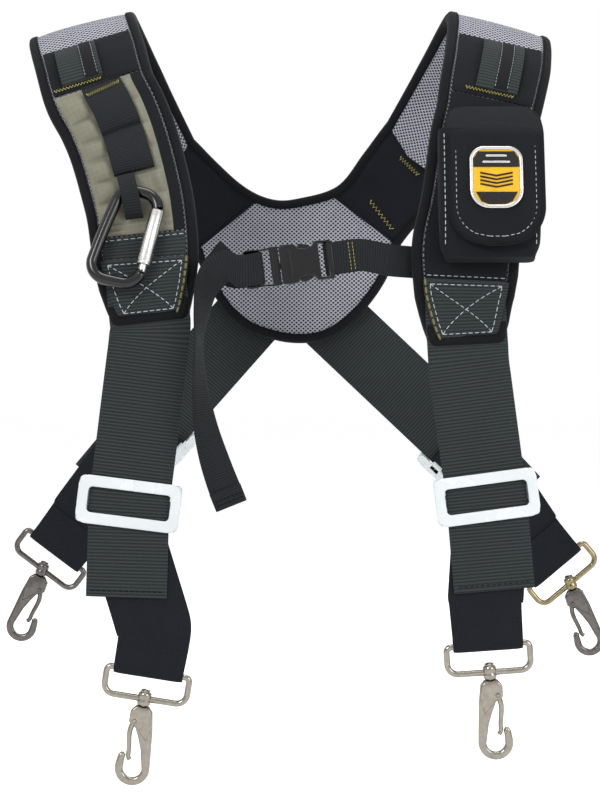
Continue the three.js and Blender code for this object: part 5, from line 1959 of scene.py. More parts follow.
@dataclass
class Strap:
    """One strap: ribbed webbing, elastic, slider, wire loop, swivel snap hook and its gate."""

    spec: StrapSpec
    wire: float = 4.0
    ring_inside: float = 23.9

    def __post_init__(self) -> None:
        """Work out where the hardware hangs."""
        s = self.spec
        inward = 1 if s.face is Face.FRONT else -1
        self.y = STRAP_PLANE[s.face]
        lean = math.degrees(math.atan2(s.start[0] - s.slider[0], s.start[1] - s.slider[1]))
        self.slider_place = placement(s.slider[0], self.y, s.slider[1], s.face, lean)
        self.ring_place = placement(s.ring[0], self.y + inward * RING_PLANE, s.ring[1], s.face, s.ring_lean)
        boss = self.ring_place @ Vector((0, 0, -RING_DROP))
        self.hook_place = placement(boss.x, boss.y, boss.z, s.face, s.hook_lean)
        if s.gate * inward < 0:
            self.hook_place = self.hook_place @ Matrix.Rotation(math.pi, 4, "Z")

    def build(self) -> None:
        """Make every piece of the strap."""
        self.webbing()
        self.elastic()
        self.slider()
        self.ring()
        self.hook()
        self.gate()

    def webbing(self) -> None:
        """Make the ribbed webbing from its sewn root to its stitched tail."""
        s = self.spec
        to_slider = Vector((s.slider[0] - s.start[0], 0, s.slider[1] - s.start[1]))
        along = to_slider.normalized()
        across = Vector((-along.z, 0, along.x)) * (1 if -along.z > 0 else -1)
        to_ring = Vector((s.ring[0] - s.slider[0], 0, s.ring[1] - s.slider[1])).normalized()
        hanging = along.lerp(to_ring, 0.4).normalized()
        top = Vector((s.start[0], self.y, s.start[1]))
        straight = [top + along * (to_slider.length * i / 8) for i in range(9)]
        straight += [straight[-1] + hanging * (FREE_TAIL * i / 4) for i in range(1, 5)]
        frames = frames_through(straight, [across] * 13, 50)
        if s.face is Face.FRONT:
            pad = PADS[Side.LEFT if "left" in s.name else Side.RIGHT]
            sewn = pad.frames(pad.before_end(41), 1, 14)
            root = [Frame(f.at(0, STRAP_LOW + HALF_WEBBING), f.a, f.n, 50, f.along) for f in sewn]
            frames = with_runs(root + frames)
        fine = refine(frames, 0.55)
        length = fine[-1].run
        held = (s.slider[0] - s.start[0]) ** 2 + (s.slider[1] - s.start[1]) ** 2
        grip = length - FREE_TAIL
        LOG.debug("%s hangs %.0f mm to its slider", s.name, math.sqrt(held))

        def lift(x: float, way: float) -> float:
            """Return a slight waviness away from the slider and the top seam."""
            loose = smoothstep(20, 45, abs(way - grip)) * smoothstep(30, 60, way)
            return loose * (0.1 * math.sin(way / 17) * x + 0.04 * math.sin(way / 9 + 2 * x))

        maker = MeshMaker()
        Band(WEBBING_THICKNESS, 14, rib_pitch=2.1, rib_height=0.16, seed=12.0).add_to(maker, fine, lift)
        sew(maker, f"{s.name}_ribbed_strap", "root", WEBBING, f"{s.name}_webbing", sharp=60)
        thread = MeshMaker()
        end = fine[-8]
        points = [end.at(-22 + 44 * i / 12, 1.0) for i in range(13)]
        Seam(2.2, 1.2, 0.45).add_to(thread, points, [end.n] * 13)
        sew(thread, f"{s.name}_tail_stitches", "root", DARK_THREAD)

    def elastic(self) -> None:
        """Make the elastic: over the slider's bar, down behind the tail and round the wire loop."""
        s = self.spec
        inside = [Vector((0, ELASTIC_MIDDLE + SEWN_GAP, -23)), Vector((0, ELASTIC_MIDDLE + SEWN_GAP, -14)),
                  Vector((0, BAR_MIDDLE + BAR_WRAP, -4.6))]
        inside += half_turn(BAR_MIDDLE, 4, BAR_WRAP, 0, 180) + [Vector((0, ELASTIC_MIDDLE, -18))]
        round_ring = [Vector((0, -RING_WRAP, 26))] + half_turn(0, 0, RING_WRAP, 180, 360)
        round_ring += [Vector((0, RING_WRAP, 3)), Vector((0, SEWN_GAP - RING_WRAP, 16)),
                       Vector((0, SEWN_GAP - RING_WRAP, 24))]
        upper = [self.slider_place @ p for p in inside]
        lower = [self.ring_place @ p for p in round_ring]
        start, end = upper[-1], lower[0]
        reach = (end - start).length / 8
        down_a = self.slider_place.to_3x3() @ Vector((0, 0, -1))
        down_b = self.ring_place.to_3x3() @ Vector((0, 0, -1))
        chord = (end - start).normalized()
        down_a, down_b = (d.lerp(chord, 0.75).normalized() for d in (down_a, down_b))
        b1, b2 = start + down_a * reach, end - down_b * reach
        bend = []
        for i in range(1, 14):
            t = i / 14
            bend.append(start * (1 - t) ** 3 + b1 * (3 * t * (1 - t) ** 2) + b2 * (3 * t * t * (1 - t))
                        + end * t ** 3)
        points = upper + bend + lower
        top = self.slider_place.to_3x3() @ Vector((1, 0, 0))
        low = self.ring_place.to_3x3() @ Vector((1, 0, 0))
        across = []
        for i in range(len(points)):
            way = min(max((i - len(upper) + 1) / (len(bend) + 1), 0), 1)
            across.append(top.lerp(low, way).normalized())
        frames = frames_through(points, across, 47)
        fold = len(upper) + len(bend)
        for i, f in enumerate(frames):
            f.width = 47 - 4.0 * smoothstep(fold - 1.5, fold + 1.5, i)
        fine = refine(frames, 0.9)
        maker = MeshMaker()

        def lift(x: float, way: float) -> float:
            """Return a slight waviness away from the ends."""
            loose = smoothstep(30, 50, way) * smoothstep(45, 70, fine[-1].run - way)
            waves = 0.1 * (1 + math.sin(way / 15 + 1.5 * x)) + 0.06 * (1 + x * math.sin(way / 11))
            return s.face.value * loose * waves

        Band(1.4, 14, seed=15.0).add_to(maker, fine, lift)
        body = f"{s.name}_adjuster"
        sew(maker, f"{s.name}_elastic_strap", body, ELASTIC_CLOTH, f"{s.name}_elastic", sharp=60)
        thread = MeshMaker()
        outward = -1 if s.face is Face.FRONT else 1
        normal = Vector((0, outward, 0))
        for local_z in (13.5, 16.0):
            row = [self.ring_place @ Vector((-20 + 40 * i / 12, -RING_WRAP - 0.4, local_z))
                   for i in range(13)]
            Seam(2.0, 1.0, 0.4).add_to(thread, row, [normal] * 13)
        sew(thread, f"{s.name}_fold_stitches", body, DARK_THREAD)

    def slider(self) -> None:
        """Give the moulded slider soft outer corners and a milky finish."""
        width, height = 64.0, 30.0
        inside = 25.6
        outer = rounded_rectangle(width, height, 6.5)
        hole = rounded_rectangle(2 * inside, height - 14, 2.8)
        rails = plate_mesh([outer, hole], 2.4, 0.75)
        move(rails, 0, -2.4, 0)
        posts = [move(plate_mesh([rounded_rectangle(5.6, height - 1.2, 2.6)], 7.0, 0.9),
                      sign * (inside + 3.2), 1.0)
                 for sign in (-1, 1)]
        bar = plate_mesh([rounded_rectangle(width - 4, 8, 0.9)], 1.8, 0.6)
        move(bar, 0, BAR_MIDDLE, 0)
        name = self.spec.name
        assemble(f"{name}_milky_slider", (rails, *posts, bar), self.slider_place, f"{name}_adjuster",
                 CLEAR_SLIDER,
                 f"{name}_slider")

    def ring(self) -> None:
        """Make the bent wire loop with its swivel boss."""
        half = self.ring_inside + self.wire / 2
        low = 6.5
        centre = [Vector((x, 0, z)) for x, z in (
            arc(-half + 3.0, -3.0, 3.0, 90, 180, 6) + arc(-half + low, -RING_DROP + low, low, 180, 270, 8)
            + arc(half - low, -RING_DROP + low, low, 270, 360, 8) + arc(half - 3.0, -3.0, 3.0, 0, 90, 6))]
        wire = rings_mesh(tube_rings(centre, lambda _: self.wire / 2, 16, True), True)
        profile = [(1.9, 4.2), (3.4, 4.2), (4.1, 3.5), (4.3, 1.4), (3.9, 0.6), (3.9, -0.6), (4.3, -1.4),
                   (4.1, -3.5),
                   (3.4, -4.2), (1.9, -4.2)]
        boss = place(lathe_mesh(profile, 28), self.ring_place.inverted() @ self.hook_place)
        assemble(f"{self.spec.name}_wire_loop", (wire, boss), self.ring_place, f"{self.spec.name}_ring_body",
                 self.spec.loop_metal, f"{self.spec.name}_ring")

    def hook(self) -> None:
        """Make the cast hook: rivet, shoulders, outer spine, bowl and nose."""
        top = HOOK_TOP
        outer: Outline = [(-4, top), (4, top), (6.6, top - 3), (6.6, top - 8), (6.2, top - 11.4),
                          (4.4, top - 12.6),
                          (2.3, top - 14), (-0.5, top - 20), (-3.2, top - 27), (-5.4, HOOK_SEAT + 2)]
        bowl_inner = arc(0, HOOK_SEAT, HOOK_RADIUS - 2.4, 180, 350, 14)
        nose_x, nose_z = NOSE
        outer += bowl_inner + [(nose_x - 2.1, nose_z - 3.0), (nose_x - 2.4, nose_z - 0.8),
                               (nose_x - 1.0, nose_z + 0.9),
                               (nose_x + 1.0, nose_z + 0.6), (nose_x + 2.1, nose_z - 1.2)]
        outer += arc(0, HOOK_SEAT, HOOK_RADIUS + 2.6, 5, -180, 22)
        outer += [(-10.5, HOOK_SEAT + 4), (-8.5, top - 14), (-6.6, top - 3)]
        body = plate_mesh([outer], 5.0, 1.7, 5)
        cheeks: Outline = [(-3.8, top - 0.6), (3.8, top - 0.6), (6.9, top - 3.6), (7.0, top - 10.6),
                           (5.0, top - 12.2),
                           (1.6, top - 13.0), (-1.6, top - 17), (-5.6, top - 21), (-7.4, top - 12),
                           (-6.6, top - 3.6)]
        cheek_pair = []
        for sign in (-1, 1):
            cheek = plate_mesh([cheeks], 2.2, 0.9, 4)
            move(cheek, 0, sign * 2.35, 0)
            cheek_pair.append(cheek)
        shank = [(0.01, top - 2), (1.6, top - 1.6), (1.6, 4.5), (2.9, 4.5), (3.0, 5.1), (2.5, 5.8),
                 (1.4, 6.15), (0.01, 6.25)]
        pin_profile = [(0.01, -4.3), (1.1, -4.2), (1.5, -3.6), (1.5, 3.6), (1.1, 4.2), (0.01, 4.3)]
        pin = lathe_mesh(pin_profile, 20)
        across_y(pin)
        move(pin, GATE_PIVOT[0], 0, GATE_PIVOT[1])
        parts = [body, *cheek_pair, lathe_mesh(shank, 24), pin]
        assemble(f"{self.spec.name}_snap_hook", parts, self.hook_place, f"{self.spec.name}_hook_body",
                 self.spec.metal, f"{self.spec.name}_hook")

    def gate(self) -> None:
        """Make the sprung gate: a slim bowed arm whose tip turns in behind the nose."""
        x0, z0 = GATE_PIVOT
        x1, z1 = NOSE[0] - 4.05, NOSE[1] - 0.6
        centre = []
        for i in range(19):
            t = i / 18
            bow = 1.5 * math.sin(math.pi * t) + 0.5 * math.sin(2 * math.pi * t)
            centre.append(Vector((x0 + (x1 - x0) * t + bow, 0, z0 + (z1 - z0) * t)))
        centre += [Vector((x1 - 0.4, 0, z1 - 1.5)), Vector((x1 - 1.4, 0, z1 - 2.7))]
        arm = rings_mesh(tube_rings(centre, lambda t: 1.75 - 0.35 * t, 14, squash=0.95))
        eye = lathe_mesh([(0.01, -1.7), (1.7, -1.7), (2.2, -1.1), (2.2, 1.1), (1.7, 1.7), (0.01, 1.7)], 20)
        across_y(eye)
        move(eye, x0, 0, z0)
        assemble(f"{self.spec.name}_sprung_gate", (arm, eye), self.hook_place, f"{self.spec.name}_gate_body",
                 self.spec.metal, f"{self.spec.name}_gate")


# ---- sternum strap and buckle ----


BUCKLE_PLACE = Matrix.Translation((-12, -88, -158.4)) @ Matrix.Rotation(math.radians(-7.6), 4, "Y")
BUCKLE_UP = BUCKLE_PLACE.to_3x3() @ Vector((0, 0, 1))
CHEST_WIDTH = 20.0
CHEST_THICKNESS = 1.2
END_BAR_X = 31.25
END_WRAP = 1.75 * math.sqrt(2) + GAP + 0.6
LADDER_BAR_X = -14.0
LADDER_WRAP = 2 + GAP + 0.6
TAIL_ROUTE = ((-46, -93.5, -159), (-53, -96.5, -164), (-58, -99, -173), (-60.5, -101.5, -187),
              (-62, -103, -204),
              (-62, -104, -222), (-60.5, -104.5, -241), (-57.5, -104.5, -260), (-53, -104, -277),
              (-47.5, -103.5, -293), (-42, -103, -307))
TAIL_ACROSS = ((-0.25, 0, 0.97), (-0.6, -0.3, 0.75), (-0.6, -0.7, 0.3), (-0.45, -0.9, 0), (-0.2, -1, 0),
               (-0.3, -1, 0), (-0.5, -0.9, 0), (-0.7, -0.7, -0.1), (-0.85, -0.5, -0.15), (-0.9, -0.3, -0.2),
               (-0.93, -0.1, -0.3))


@dataclass
class SternumStrap:
    """The narrow strap between the pads, with its side-release buckle and twisted free tail."""

    buckle_width: float = 25.0
    buckle_depth: float = 9.0

    def build(self) -> None:
        """Make both straps and every part of the buckle."""
        self.right()
        self.left()
        self.female()
        self.male()
        for name, sign in (("upper", 1), ("lower", -1)):
            self.prong(name, sign)

    def right(self) -> None:
        """Make the webbing from the right pad round the socket's bar."""
        turn = []
        for i in range(13):
            angle = -math.pi / 2 - math.pi * i / 12
            turn.append(Vector((END_BAR_X + END_WRAP * math.cos(angle), END_WRAP * math.sin(angle), 0)))
        back = -END_WRAP + CHEST_THICKNESS + GAP
        local = [Vector((END_BAR_X + 18, -END_WRAP, 0)), *turn, Vector((END_BAR_X + 10, back, 0)),
                 Vector((END_BAR_X + 20, back, 0))]
        points = [Vector((78, -79, -156)), Vector((67, -82, -155.5)),
                  Vector((56, -88, -155))] + [BUCKLE_PLACE @ p for p in local]
        frames = refine(frames_through(points, [BUCKLE_UP] * len(points), CHEST_WIDTH), 0.45)
        maker = MeshMaker()
        Band(CHEST_THICKNESS, 10, rib_pitch=1.5, rib_height=0.1, sag=0.25, seed=20.0).add_to(maker, frames)
        sew(maker, "sternum_webbing_right", "root", CHEST_WEBBING, "chest_strap_right", sharp=60)
        thread = MeshMaker()
        front = Vector((0, -1, 0))
        for x in (END_BAR_X + 12.0, END_BAR_X + 14.5):
            row = [BUCKLE_PLACE @ Vector((x, -END_WRAP - 0.75, -8.5 + 17 * i / 8)) for i in range(9)]
            Seam(1.5, 0.7, 0.4).add_to(thread, row, [front] * 9)
        sew(thread, "sternum_stitches", "root", YELLOW_THREAD)

    def left(self) -> None:
        """Make the webbing from the left pad, round the ladder bar and down in its long tail."""
        turn = []
        for i in range(13):
            angle = math.pi / 2 - math.pi * i / 12
            x, y = LADDER_WRAP * math.cos(angle), LADDER_WRAP * math.sin(angle)
            turn.append(Vector((LADDER_BAR_X + x, y, 0)))
        local = [Vector((-29, LADDER_WRAP, 0)), *turn, Vector((-26, -LADDER_WRAP, 0))]
        points = [Vector((-56, -84, -150)), *(BUCKLE_PLACE @ p for p in local)]
        points += [Vector(p) for p in TAIL_ROUTE]
        across = [BUCKLE_UP] * (len(points) - len(TAIL_ROUTE)) + [Vector(a) for a in TAIL_ACROSS]
        frames = refine(frames_through(points, across, CHEST_WIDTH), 0.45)
        maker = MeshMaker()
        Band(CHEST_THICKNESS, 10, rib_pitch=1.5, rib_height=0.1, sag=0.3, seed=21.0).add_to(maker, frames)
        last = frames[-26:]
        fold = [Frame(f.at(0, 1.35 * side), f.a, f.n, CHEST_WIDTH, f.along, f.run) for side in (1, -1)
                for f in last]
        for half in (fold[:26], fold[26:]):
            Band(1.1, 10, rib_pitch=1.5, rib_height=0.1).add_to(maker, half)
        sew(maker, "sternum_webbing_left", "root", CHEST_WEBBING, "chest_strap_left", sharp=60)
        thread = MeshMaker()
        for back in (8, 14):
            f = frames[-back]
            for side in (1, -1):
                row = [f.at(-8.5 + 17 * i / 8, 2.0 * side) for i in range(9)]
                Seam(1.6, 0.8, 0.42).add_to(thread, row, [f.n * side] * 9)
        sew(thread, "sternum_tail_stitches", "root", DARK_THREAD)

    def female(self) -> None:
        """Make the socket: two curved faces, side rails beside the windows and the strap end."""
        half = self.buckle_width / 2
        faces = []
        shell: Outline = [(0, -half + 2), (1.2, -half + 0.4), (4, -half), (9, -half + 0.2),
                          (10.5, -half + 1.4),
                          (12, -half + 3.4), (16, -half + 4.1), (20, -half + 3.2), (21.6, -half + 1.2),
                          (24, -half + 0.1),
                          (28, -half + 0.4), (31.5, -half + 1.8), (33, -half + 4)]
        outline = shell + [(x, -z) for x, z in shell[::-1]]
        slot: Outline = [(24.4, -10.4), (29.4, -10.4), (29.4, 10.4), (24.4, 10.4)]
        for sign in (-1, 1):
            face = plate_mesh([outline, slot], 1.75, 0.7, 4)
            move(face, 0, sign * (self.buckle_depth / 2 - 0.95), 0)
            faces.append(face)
        for sign in (-1, 1):
            for x0, x1 in ((0.3, 10.4), (21.2, 32.6)):
                rail = plate_mesh([[(x0, sign * (half - 2.2)), (x1, sign * (half - 2.2)),
                                    (x1 - 0.4, sign * (half - 0.3)),
                                    (x0 + 0.4, sign * (half - 0.3))][::sign]], 7.0, 0.5, 2)
                faces.append(rail)
        rib = plate_mesh([rounded_rectangle(2.2, 17, 1.0)], 0.9, 0.4)
        move(rib, 6.0, -self.buckle_depth / 2 - 0.1, 0)
        bar = plate_mesh([rounded_rectangle(3.3, 22.5, 0.9)], 3.3, 0.8)
        move(bar, END_BAR_X, 0, 0)
        floor = plate_mesh([rounded_rectangle(1.4, 21.5, 0.5)], 7.0, 0.3)
        move(floor, 23.4, 0, 0)
        assemble("buckle_socket", (*faces, rib, bar, floor), BUCKLE_PLACE, "root", MOULDED_BLACK,
                 "buckle_female")

    def male(self) -> None:
        """Make the plug: the ladder frame with its bar, and the guide tongue."""
        half = self.buckle_width / 2
        side: Outline = [(-23.8, half - 3.5), (-22.6, half - 1), (-19.5, half - 0.2), (-12, half - 0.9),
                         (-4, half - 0.1),
                         (-0.6, half - 0.3)]
        outline = side + [(x, -z) for x, z in side[::-1]]
        window: Outline = [(-21.0, -10.5), (-6.2, -10.5), (-6.2, 10.5), (-21.0, 10.5)]
        frame_mesh = plate_mesh([outline, window], 4.4, 0.7, 4)
        bar = rings_mesh(tube_rings([Vector((LADDER_BAR_X, 0, -11 + 2.2 * i)) for i in range(11)],
                                    lambda _: 1.95, 14))
        tongue = plate_mesh([[(-2, -2), (18, -1.6), (19, 0), (18, 1.6), (-2, 2)]], 3.2, 0.5)
        grips = []
        for i in range(3):
            grip = plate_mesh([rounded_rectangle(0.9, 17, 0.4)], 5.4, 0.35)
            move(grip, -4.6 + 1.7 * i, 0, 0)
            grips.append(grip)
        assemble("buckle_plug", (frame_mesh, bar, tongue, *grips), BUCKLE_PLACE, "root", MOULDED_BLACK,
                 "buckle_male")

    def prong(self, name: str, sign: int) -> None:
        """Make one spring arm with the catch that shows in the socket's side window.

        Args:
            name: Which prong.
            sign: Which side it stands on, 1 or -1.
        """
        points: Outline = [(0.3, 6.2), (0.3, 8.6), (6.5, 9.2), (11.2, 9.9), (11.6, 11.6), (12.6, 12.1),
                           (14.5, 12.0), (18, 10.9), (20.4, 9.0), (20.9, 7.6), (20.2, 6.4), (17.5, 6.2),
                           (10, 6.9)]
        outline = [(x, sign * z) for x, z in points][::sign]
        assemble(f"buckle_arm_{name}", [plate_mesh([outline], 4.2, 0.7, 3)], BUCKLE_PLACE, f"prong_{name}",
                 MOULDED_BLACK, f"buckle_prong_{name}")


# ---- the pouch ----


POUCH_PLACE = Matrix.Translation((120.5, -93.2, -157)) @ Matrix.Rotation(math.radians(-12.2), 4, "X")
CASE_WIDTH = 63.0
CASE_SHIFT = -3.5
POUCH_HEIGHT = 88.0
POUCH_DEPTH = 18.0
FLAP_TOP = 82.3
FLAP_FRONT = -19.9


@dataclass
class Pouch:
    """The soft phone pouch on the right pad, with its flap and plain badge."""

    rows: int = 44
    corner: float = 5.0

    def build(self) -> None:
        """Make the case, flap, piping, stitches and badge."""
        self.case()
        self.flap()
        self.badge()

    def section(self, z: float, inset: float, bulge: float) -> Ring:
        """Return the pouch's outline at a height, in its own frame.

        Args:
            z: The height above the pouch's foot.
            inset: How far inside the outer face.
            bulge: How much the front swells.

        Returns:
            A closed ring of points.
        """
        way = z / POUCH_HEIGHT
        foot = 1 - 0.10 * (1 - smoothstep(0, 0.16, way)) ** 2
        half = (CASE_WIDTH / 2) * foot * (0.97 + 0.03 * math.sin(math.pi * way)) - inset
        deep = POUCH_DEPTH * (0.72 + 0.28 * smoothstep(0, 0.3, way)) - 2 * inset
        middle = -POUCH_DEPTH * (0.72 + 0.28 * smoothstep(0, 0.3, way)) / 2
        ring = []
        for x, y in rounded_rectangle(2 * half, deep, min(self.corner, deep / 2 - 0.2)):
            swell = bulge * (1 - (x / half) ** 4) * smoothstep(0, 1, 4 * way * (1 - way)) if y < 0 else 0.0
            soft = 0.5 * lumps(Vector((x, y, z)), 17, 30.0)
            ring.append(Vector((x + CASE_SHIFT, middle + y - swell + (soft if y < 0 else 0.0), z)))
        return ring

    def case(self) -> None:
        """Make the open case with an inner face, a bottom and a rounded mouth."""
        top = POUCH_HEIGHT - 6
        heights = [top * (i / self.rows) for i in range(self.rows + 1)]
        outside = [self.section(z, 0.0, 0.9) for z in heights]
        inside = [self.section(z, 1.6, 0.6) for z in heights[2:]][::-1]
        lip = [self.section(top + 0.6, 0.8, 0.7)]
        rings = [[POUCH_PLACE @ p for p in ring] for ring in outside + lip + inside]
        count = len(rings[0])
        around = [0.0]
        for i in range(1, count):
            around.append(around[-1] + (rings[10][i] - rings[10][i - 1]).length)
        runs = heights + [top + 1] + [top + 2 + (top - z) for z in heights[2:][::-1]]
        maker = MeshMaker()
        maker.loft(rings, around, runs)
        sew(maker, "pouch_case", "root", PANEL_CLOTH, "phone_pouch", sharp=60)
        thread = MeshMaker()
        for sign in (-1, 1):
            x = CASE_SHIFT + sign * (CASE_WIDTH / 2 - 3.6)
            spots = [self._front(x, 8 + 70 * i / 24) for i in range(25)]
            Seam(2.6, 1.4, 0.6).add_to(thread, spots, [POUCH_PLACE.to_3x3() @ Vector((0, -1, 0))] * 25)
        sew(thread, "pouch_side_stitches", "root", PALE_THREAD)

    def _front(self, x: float, z: float) -> Vector:
        """Return the place on the case's front face at a local x and z.

        Args:
            x: Across.
            z: Height.

        Returns:
            The place, in the frame of the whole object.
        """
        ring = self.section(z, 0.0, 0.9)
        face = [p for p in ring if p.y < -POUCH_DEPTH * 0.5]
        near = sorted(face, key=lambda p: abs(p.x - x))[:2]
        (x0, y0), (x1, y1) = ((p.x, p.y) for p in near)
        way = 0.0 if abs(x1 - x0) < 1e-6 else (x - x0) / (x1 - x0)
        return POUCH_PLACE @ Vector((x, y0 + (y1 - y0) * way - 0.1, z))

    def flap_rows(self) -> list[list[Vector]]:
        """Return the flap's middle surface, from its hinge over the top and down the front.

        Returns:
            Rows of points, from the hinge on.
        """
        rows = []
        back = [(-0.6, FLAP_TOP + 19.5), (-2.6, FLAP_TOP + 17.5), (-6.4, FLAP_TOP + 13),
                (-11, FLAP_TOP + 7.5),
                (-15.5, FLAP_TOP + 1.5), (-18.3, FLAP_TOP - 2.4)]
        front_count = 34
        drop = 74.0
        low = FLAP_TOP + 1.6 - drop - 4
        for index, (y, z) in enumerate(back):
            rows.append([(x, y, z) for x in self._flap_columns((21.0, 24.5, 27.5, 29.2, 29.5, 29.5)[index])])
        for i in range(front_count + 1):
            way = i / front_count
            z = FLAP_TOP - 4.5 + (low - FLAP_TOP + 4.5) * way
            above = z - low
            radius = 25.0
            half = 29.5
            if above < radius:
                half = 29.5 - radius + math.sqrt(max(radius ** 2 - (radius - above) ** 2, 0.6))
            rows.append([(x, FLAP_FRONT + 0.8 - 0.6 * math.sin(math.pi * min(way * 1.15, 1)), z)
                         for x in self._flap_columns(half)])
        result = []
        for row in rows:
            line = []
            for x, y, z in row:
                lift = 0.35 * lumps(Vector((x, y, z)), 18, 33.0)
                line.append(Vector((x, y + lift + 0.0016 * x * x, z)))
            result.append(line)
        return result

    @staticmethod
    def _flap_columns(half: float) -> list[float]:
        """Return the x of each column of a row."""
        return [half * (-1 + 2 * j / 30) for j in range(31)]

    def flap(self) -> None:
        """Make the flap with its rounded rim, edge binding and pale stitches."""
        rows = self.flap_rows()
        maker = MeshMaker()
        rings = []
        for i, row in enumerate(rows):
            after, before = rows[min(i + 1, len(rows) - 1)], rows[max(i - 1, 0)]
            ring_out, ring_in = [], []
            for j, p in enumerate(row):
                along = after[j] - before[j]
                across = row[min(j + 1, len(row) - 1)] - row[max(j - 1, 0)]
                normal = along.cross(across)
                normal = normal.normalized() if normal.length > 1e-9 else Vector((0, -1, 0))
                if normal.y > 0.3 or (i < 5 and normal.z < 0):
                    normal = -normal
                edge = min(j, len(row) - 1 - j) / (len(row) - 1)
                end = (len(rows) - 1 - i) / (len(rows) - 1)
                rim = smoothstep(0, 0.03, edge) * (smoothstep(0, 0.03, end) if i > 5 else 1.0)
                thick = 0.45 + 0.45 * rim
                ring_out.append(POUCH_PLACE @ (p + normal * thick))
                ring_in.append(POUCH_PLACE @ (p - normal * thick * 0.8))
            rings.append(ring_out + ring_in[::-1])
        columns = [x for x in self._flap_columns(29.5)]
        runs = [0.0]
        for before, after in zip(rows, rows[1:]):
            runs.append(runs[-1] + (after[15] - before[15]).length)
        maker.loft(rings, columns + columns[::-1], runs)
        self._hinge(maker, "pouch_soft_flap", PANEL_CLOTH, "pouch_flap")
        edge_points, normals = [], []
        rim = ([row[0] for row in rows] + rows[-1][1:-1] + [row[-1] for row in rows][::-1])
        centre = Vector((0, 0, 45))
        out = POUCH_PLACE.to_3x3() @ Vector((0, -1, 0))
        for p in rim:
            inward = Vector((centre.x - p.x, 0, centre.z - p.z)).normalized()
            edge_points.append(POUCH_PLACE @ Vector((p.x, p.y, p.z)))
            normals.append(POUCH_PLACE.to_3x3() @ inward)
        rings = []
        for i, p in enumerate(edge_points):
            along = (edge_points[min(i + 1, len(edge_points) - 1)] - edge_points[max(i - 1, 0)]).normalized()
            inward = (normals[i] - along * normals[i].dot(along)).normalized()
            rings.append([p + inward * (1.4 + 2.3 * math.cos(a)) + out * (0.1 + 1.25 * math.sin(a))
                          for a in (2 * math.pi * k / 10 for k in range(10))])
        maker = MeshMaker()
        maker.loft(rings, [1.2 * k for k in range(10)], [2.0 * i for i in range(len(rings))])
        self._hinge(maker, "flap_binding", BINDING_TAPE)
        thread = MeshMaker()
        stitch_points = []
        for i, p in enumerate(edge_points):
            along = (edge_points[min(i + 1, len(edge_points) - 1)] - edge_points[max(i - 1, 0)]).normalized()
            inward = (normals[i] - along * normals[i].dot(along)).normalized()
            stitch_points.append(p + inward * 5.0 + out * 1.0)
        Seam(2.3, 1.3, 0.5).add_to(thread, stitch_points, [out] * len(stitch_points))
        self._hinge(thread, "flap_stitches", PALE_THREAD, sharp=45)

    @staticmethod
    def _hinge(maker: MeshMaker, name: str, finish: Finish, *nodes: str, sharp: float = 60.0) -> None:
        """Build a piece of the flap, bake its place into its mesh and hide the CAD nodes that it stands for.

        Args:
            maker: Holds the piece's faces.
            name: The piece's name.
            finish: What it is made of.
            nodes: The CAD nodes that it stands for.
            sharp: Edges sharper than this many degrees stay sharp.
        """
        item = maker.build(name, FINISHES.get(finish), sharp)
        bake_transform(item)
        if nodes:
            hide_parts(*nodes)
        LOG.info("%s: %d vertices from root to flap", item.name, len(item.data.vertices))

    def badge(self) -> None:
        """Make the plain badge: a bright rim, an amber field with ridges and a dark upper band."""
        width, height = 33.0, 40.0
        centre = FLAP_TOP - 34
        y = FLAP_FRONT - 1.2
        where = POUCH_PLACE @ Matrix.Translation((0, y, centre))
        outer = rounded_rectangle(width, height, 9.0, 12.0)
        inner = rounded_rectangle(width - 4.6, height - 4.6, 7.0, 10.0)
        rim = plate_mesh([outer, inner], 2.6, 0.9, 4)
        field_plate = plate_mesh([rounded_rectangle(width - 4.2, height - 4.2, 7.0, 10.0)], 1.5, 0.2)
        move(field_plate, 0, 0.3, 0)
        band = plate_mesh([[(-14.0, 6.5), (14.0, 6.5), (14.0, 12.0), (11.0, 16.6), (-11.0, 16.6),
                            (-14.0, 12.0)]], 1.0, 0.3)
        move(band, 0, -0.55, 0)
        lower = plate_mesh([[(-12.9, -9.5), (12.9, -9.5), (9.5, -15.6), (5.0, -17.4), (-5.0, -17.4),
                             (-9.5, -15.6)][::-1]],
                           1.0, 0.3)
        move(lower, 0, -0.55, 0)
        pieces = [rim, field_plate, band, lower]
        colours = [BRUSHED_METAL, AMBER_ENAMEL, CHARCOAL_ENAMEL, CHARCOAL_ENAMEL]
        for z in (3.0, 0.6, -1.8, -4.2):
            ridge = plate_mesh([[(-10, z - 0.7), (0, z - 2.7), (10, z - 0.7), (10, z + 0.5), (0, z - 1.5),
                                 (-10, z + 0.5)]],
                               0.9, 0.25)
            move(ridge, 0, -0.45, 0)
            pieces.append(ridge)
            colours.append(CHARCOAL_ENAMEL)
        for z in (13.6, 9.6):
            bead = plate_mesh([rounded_rectangle(17 if z < 12 else 13, 1.3, 0.6)], 0.9, 0.3)
            move(bead, 0, -1.0, z)
            pieces.append(bead)
            colours.append(BRUSHED_METAL)
        item = merge("plain_badge", [place(m, where) for m in pieces], [FINISHES.get(c) for c in colours])
        settle(item, "flap", AMBER_ENAMEL, "pouch_badge")


# ---- the carabiner ----


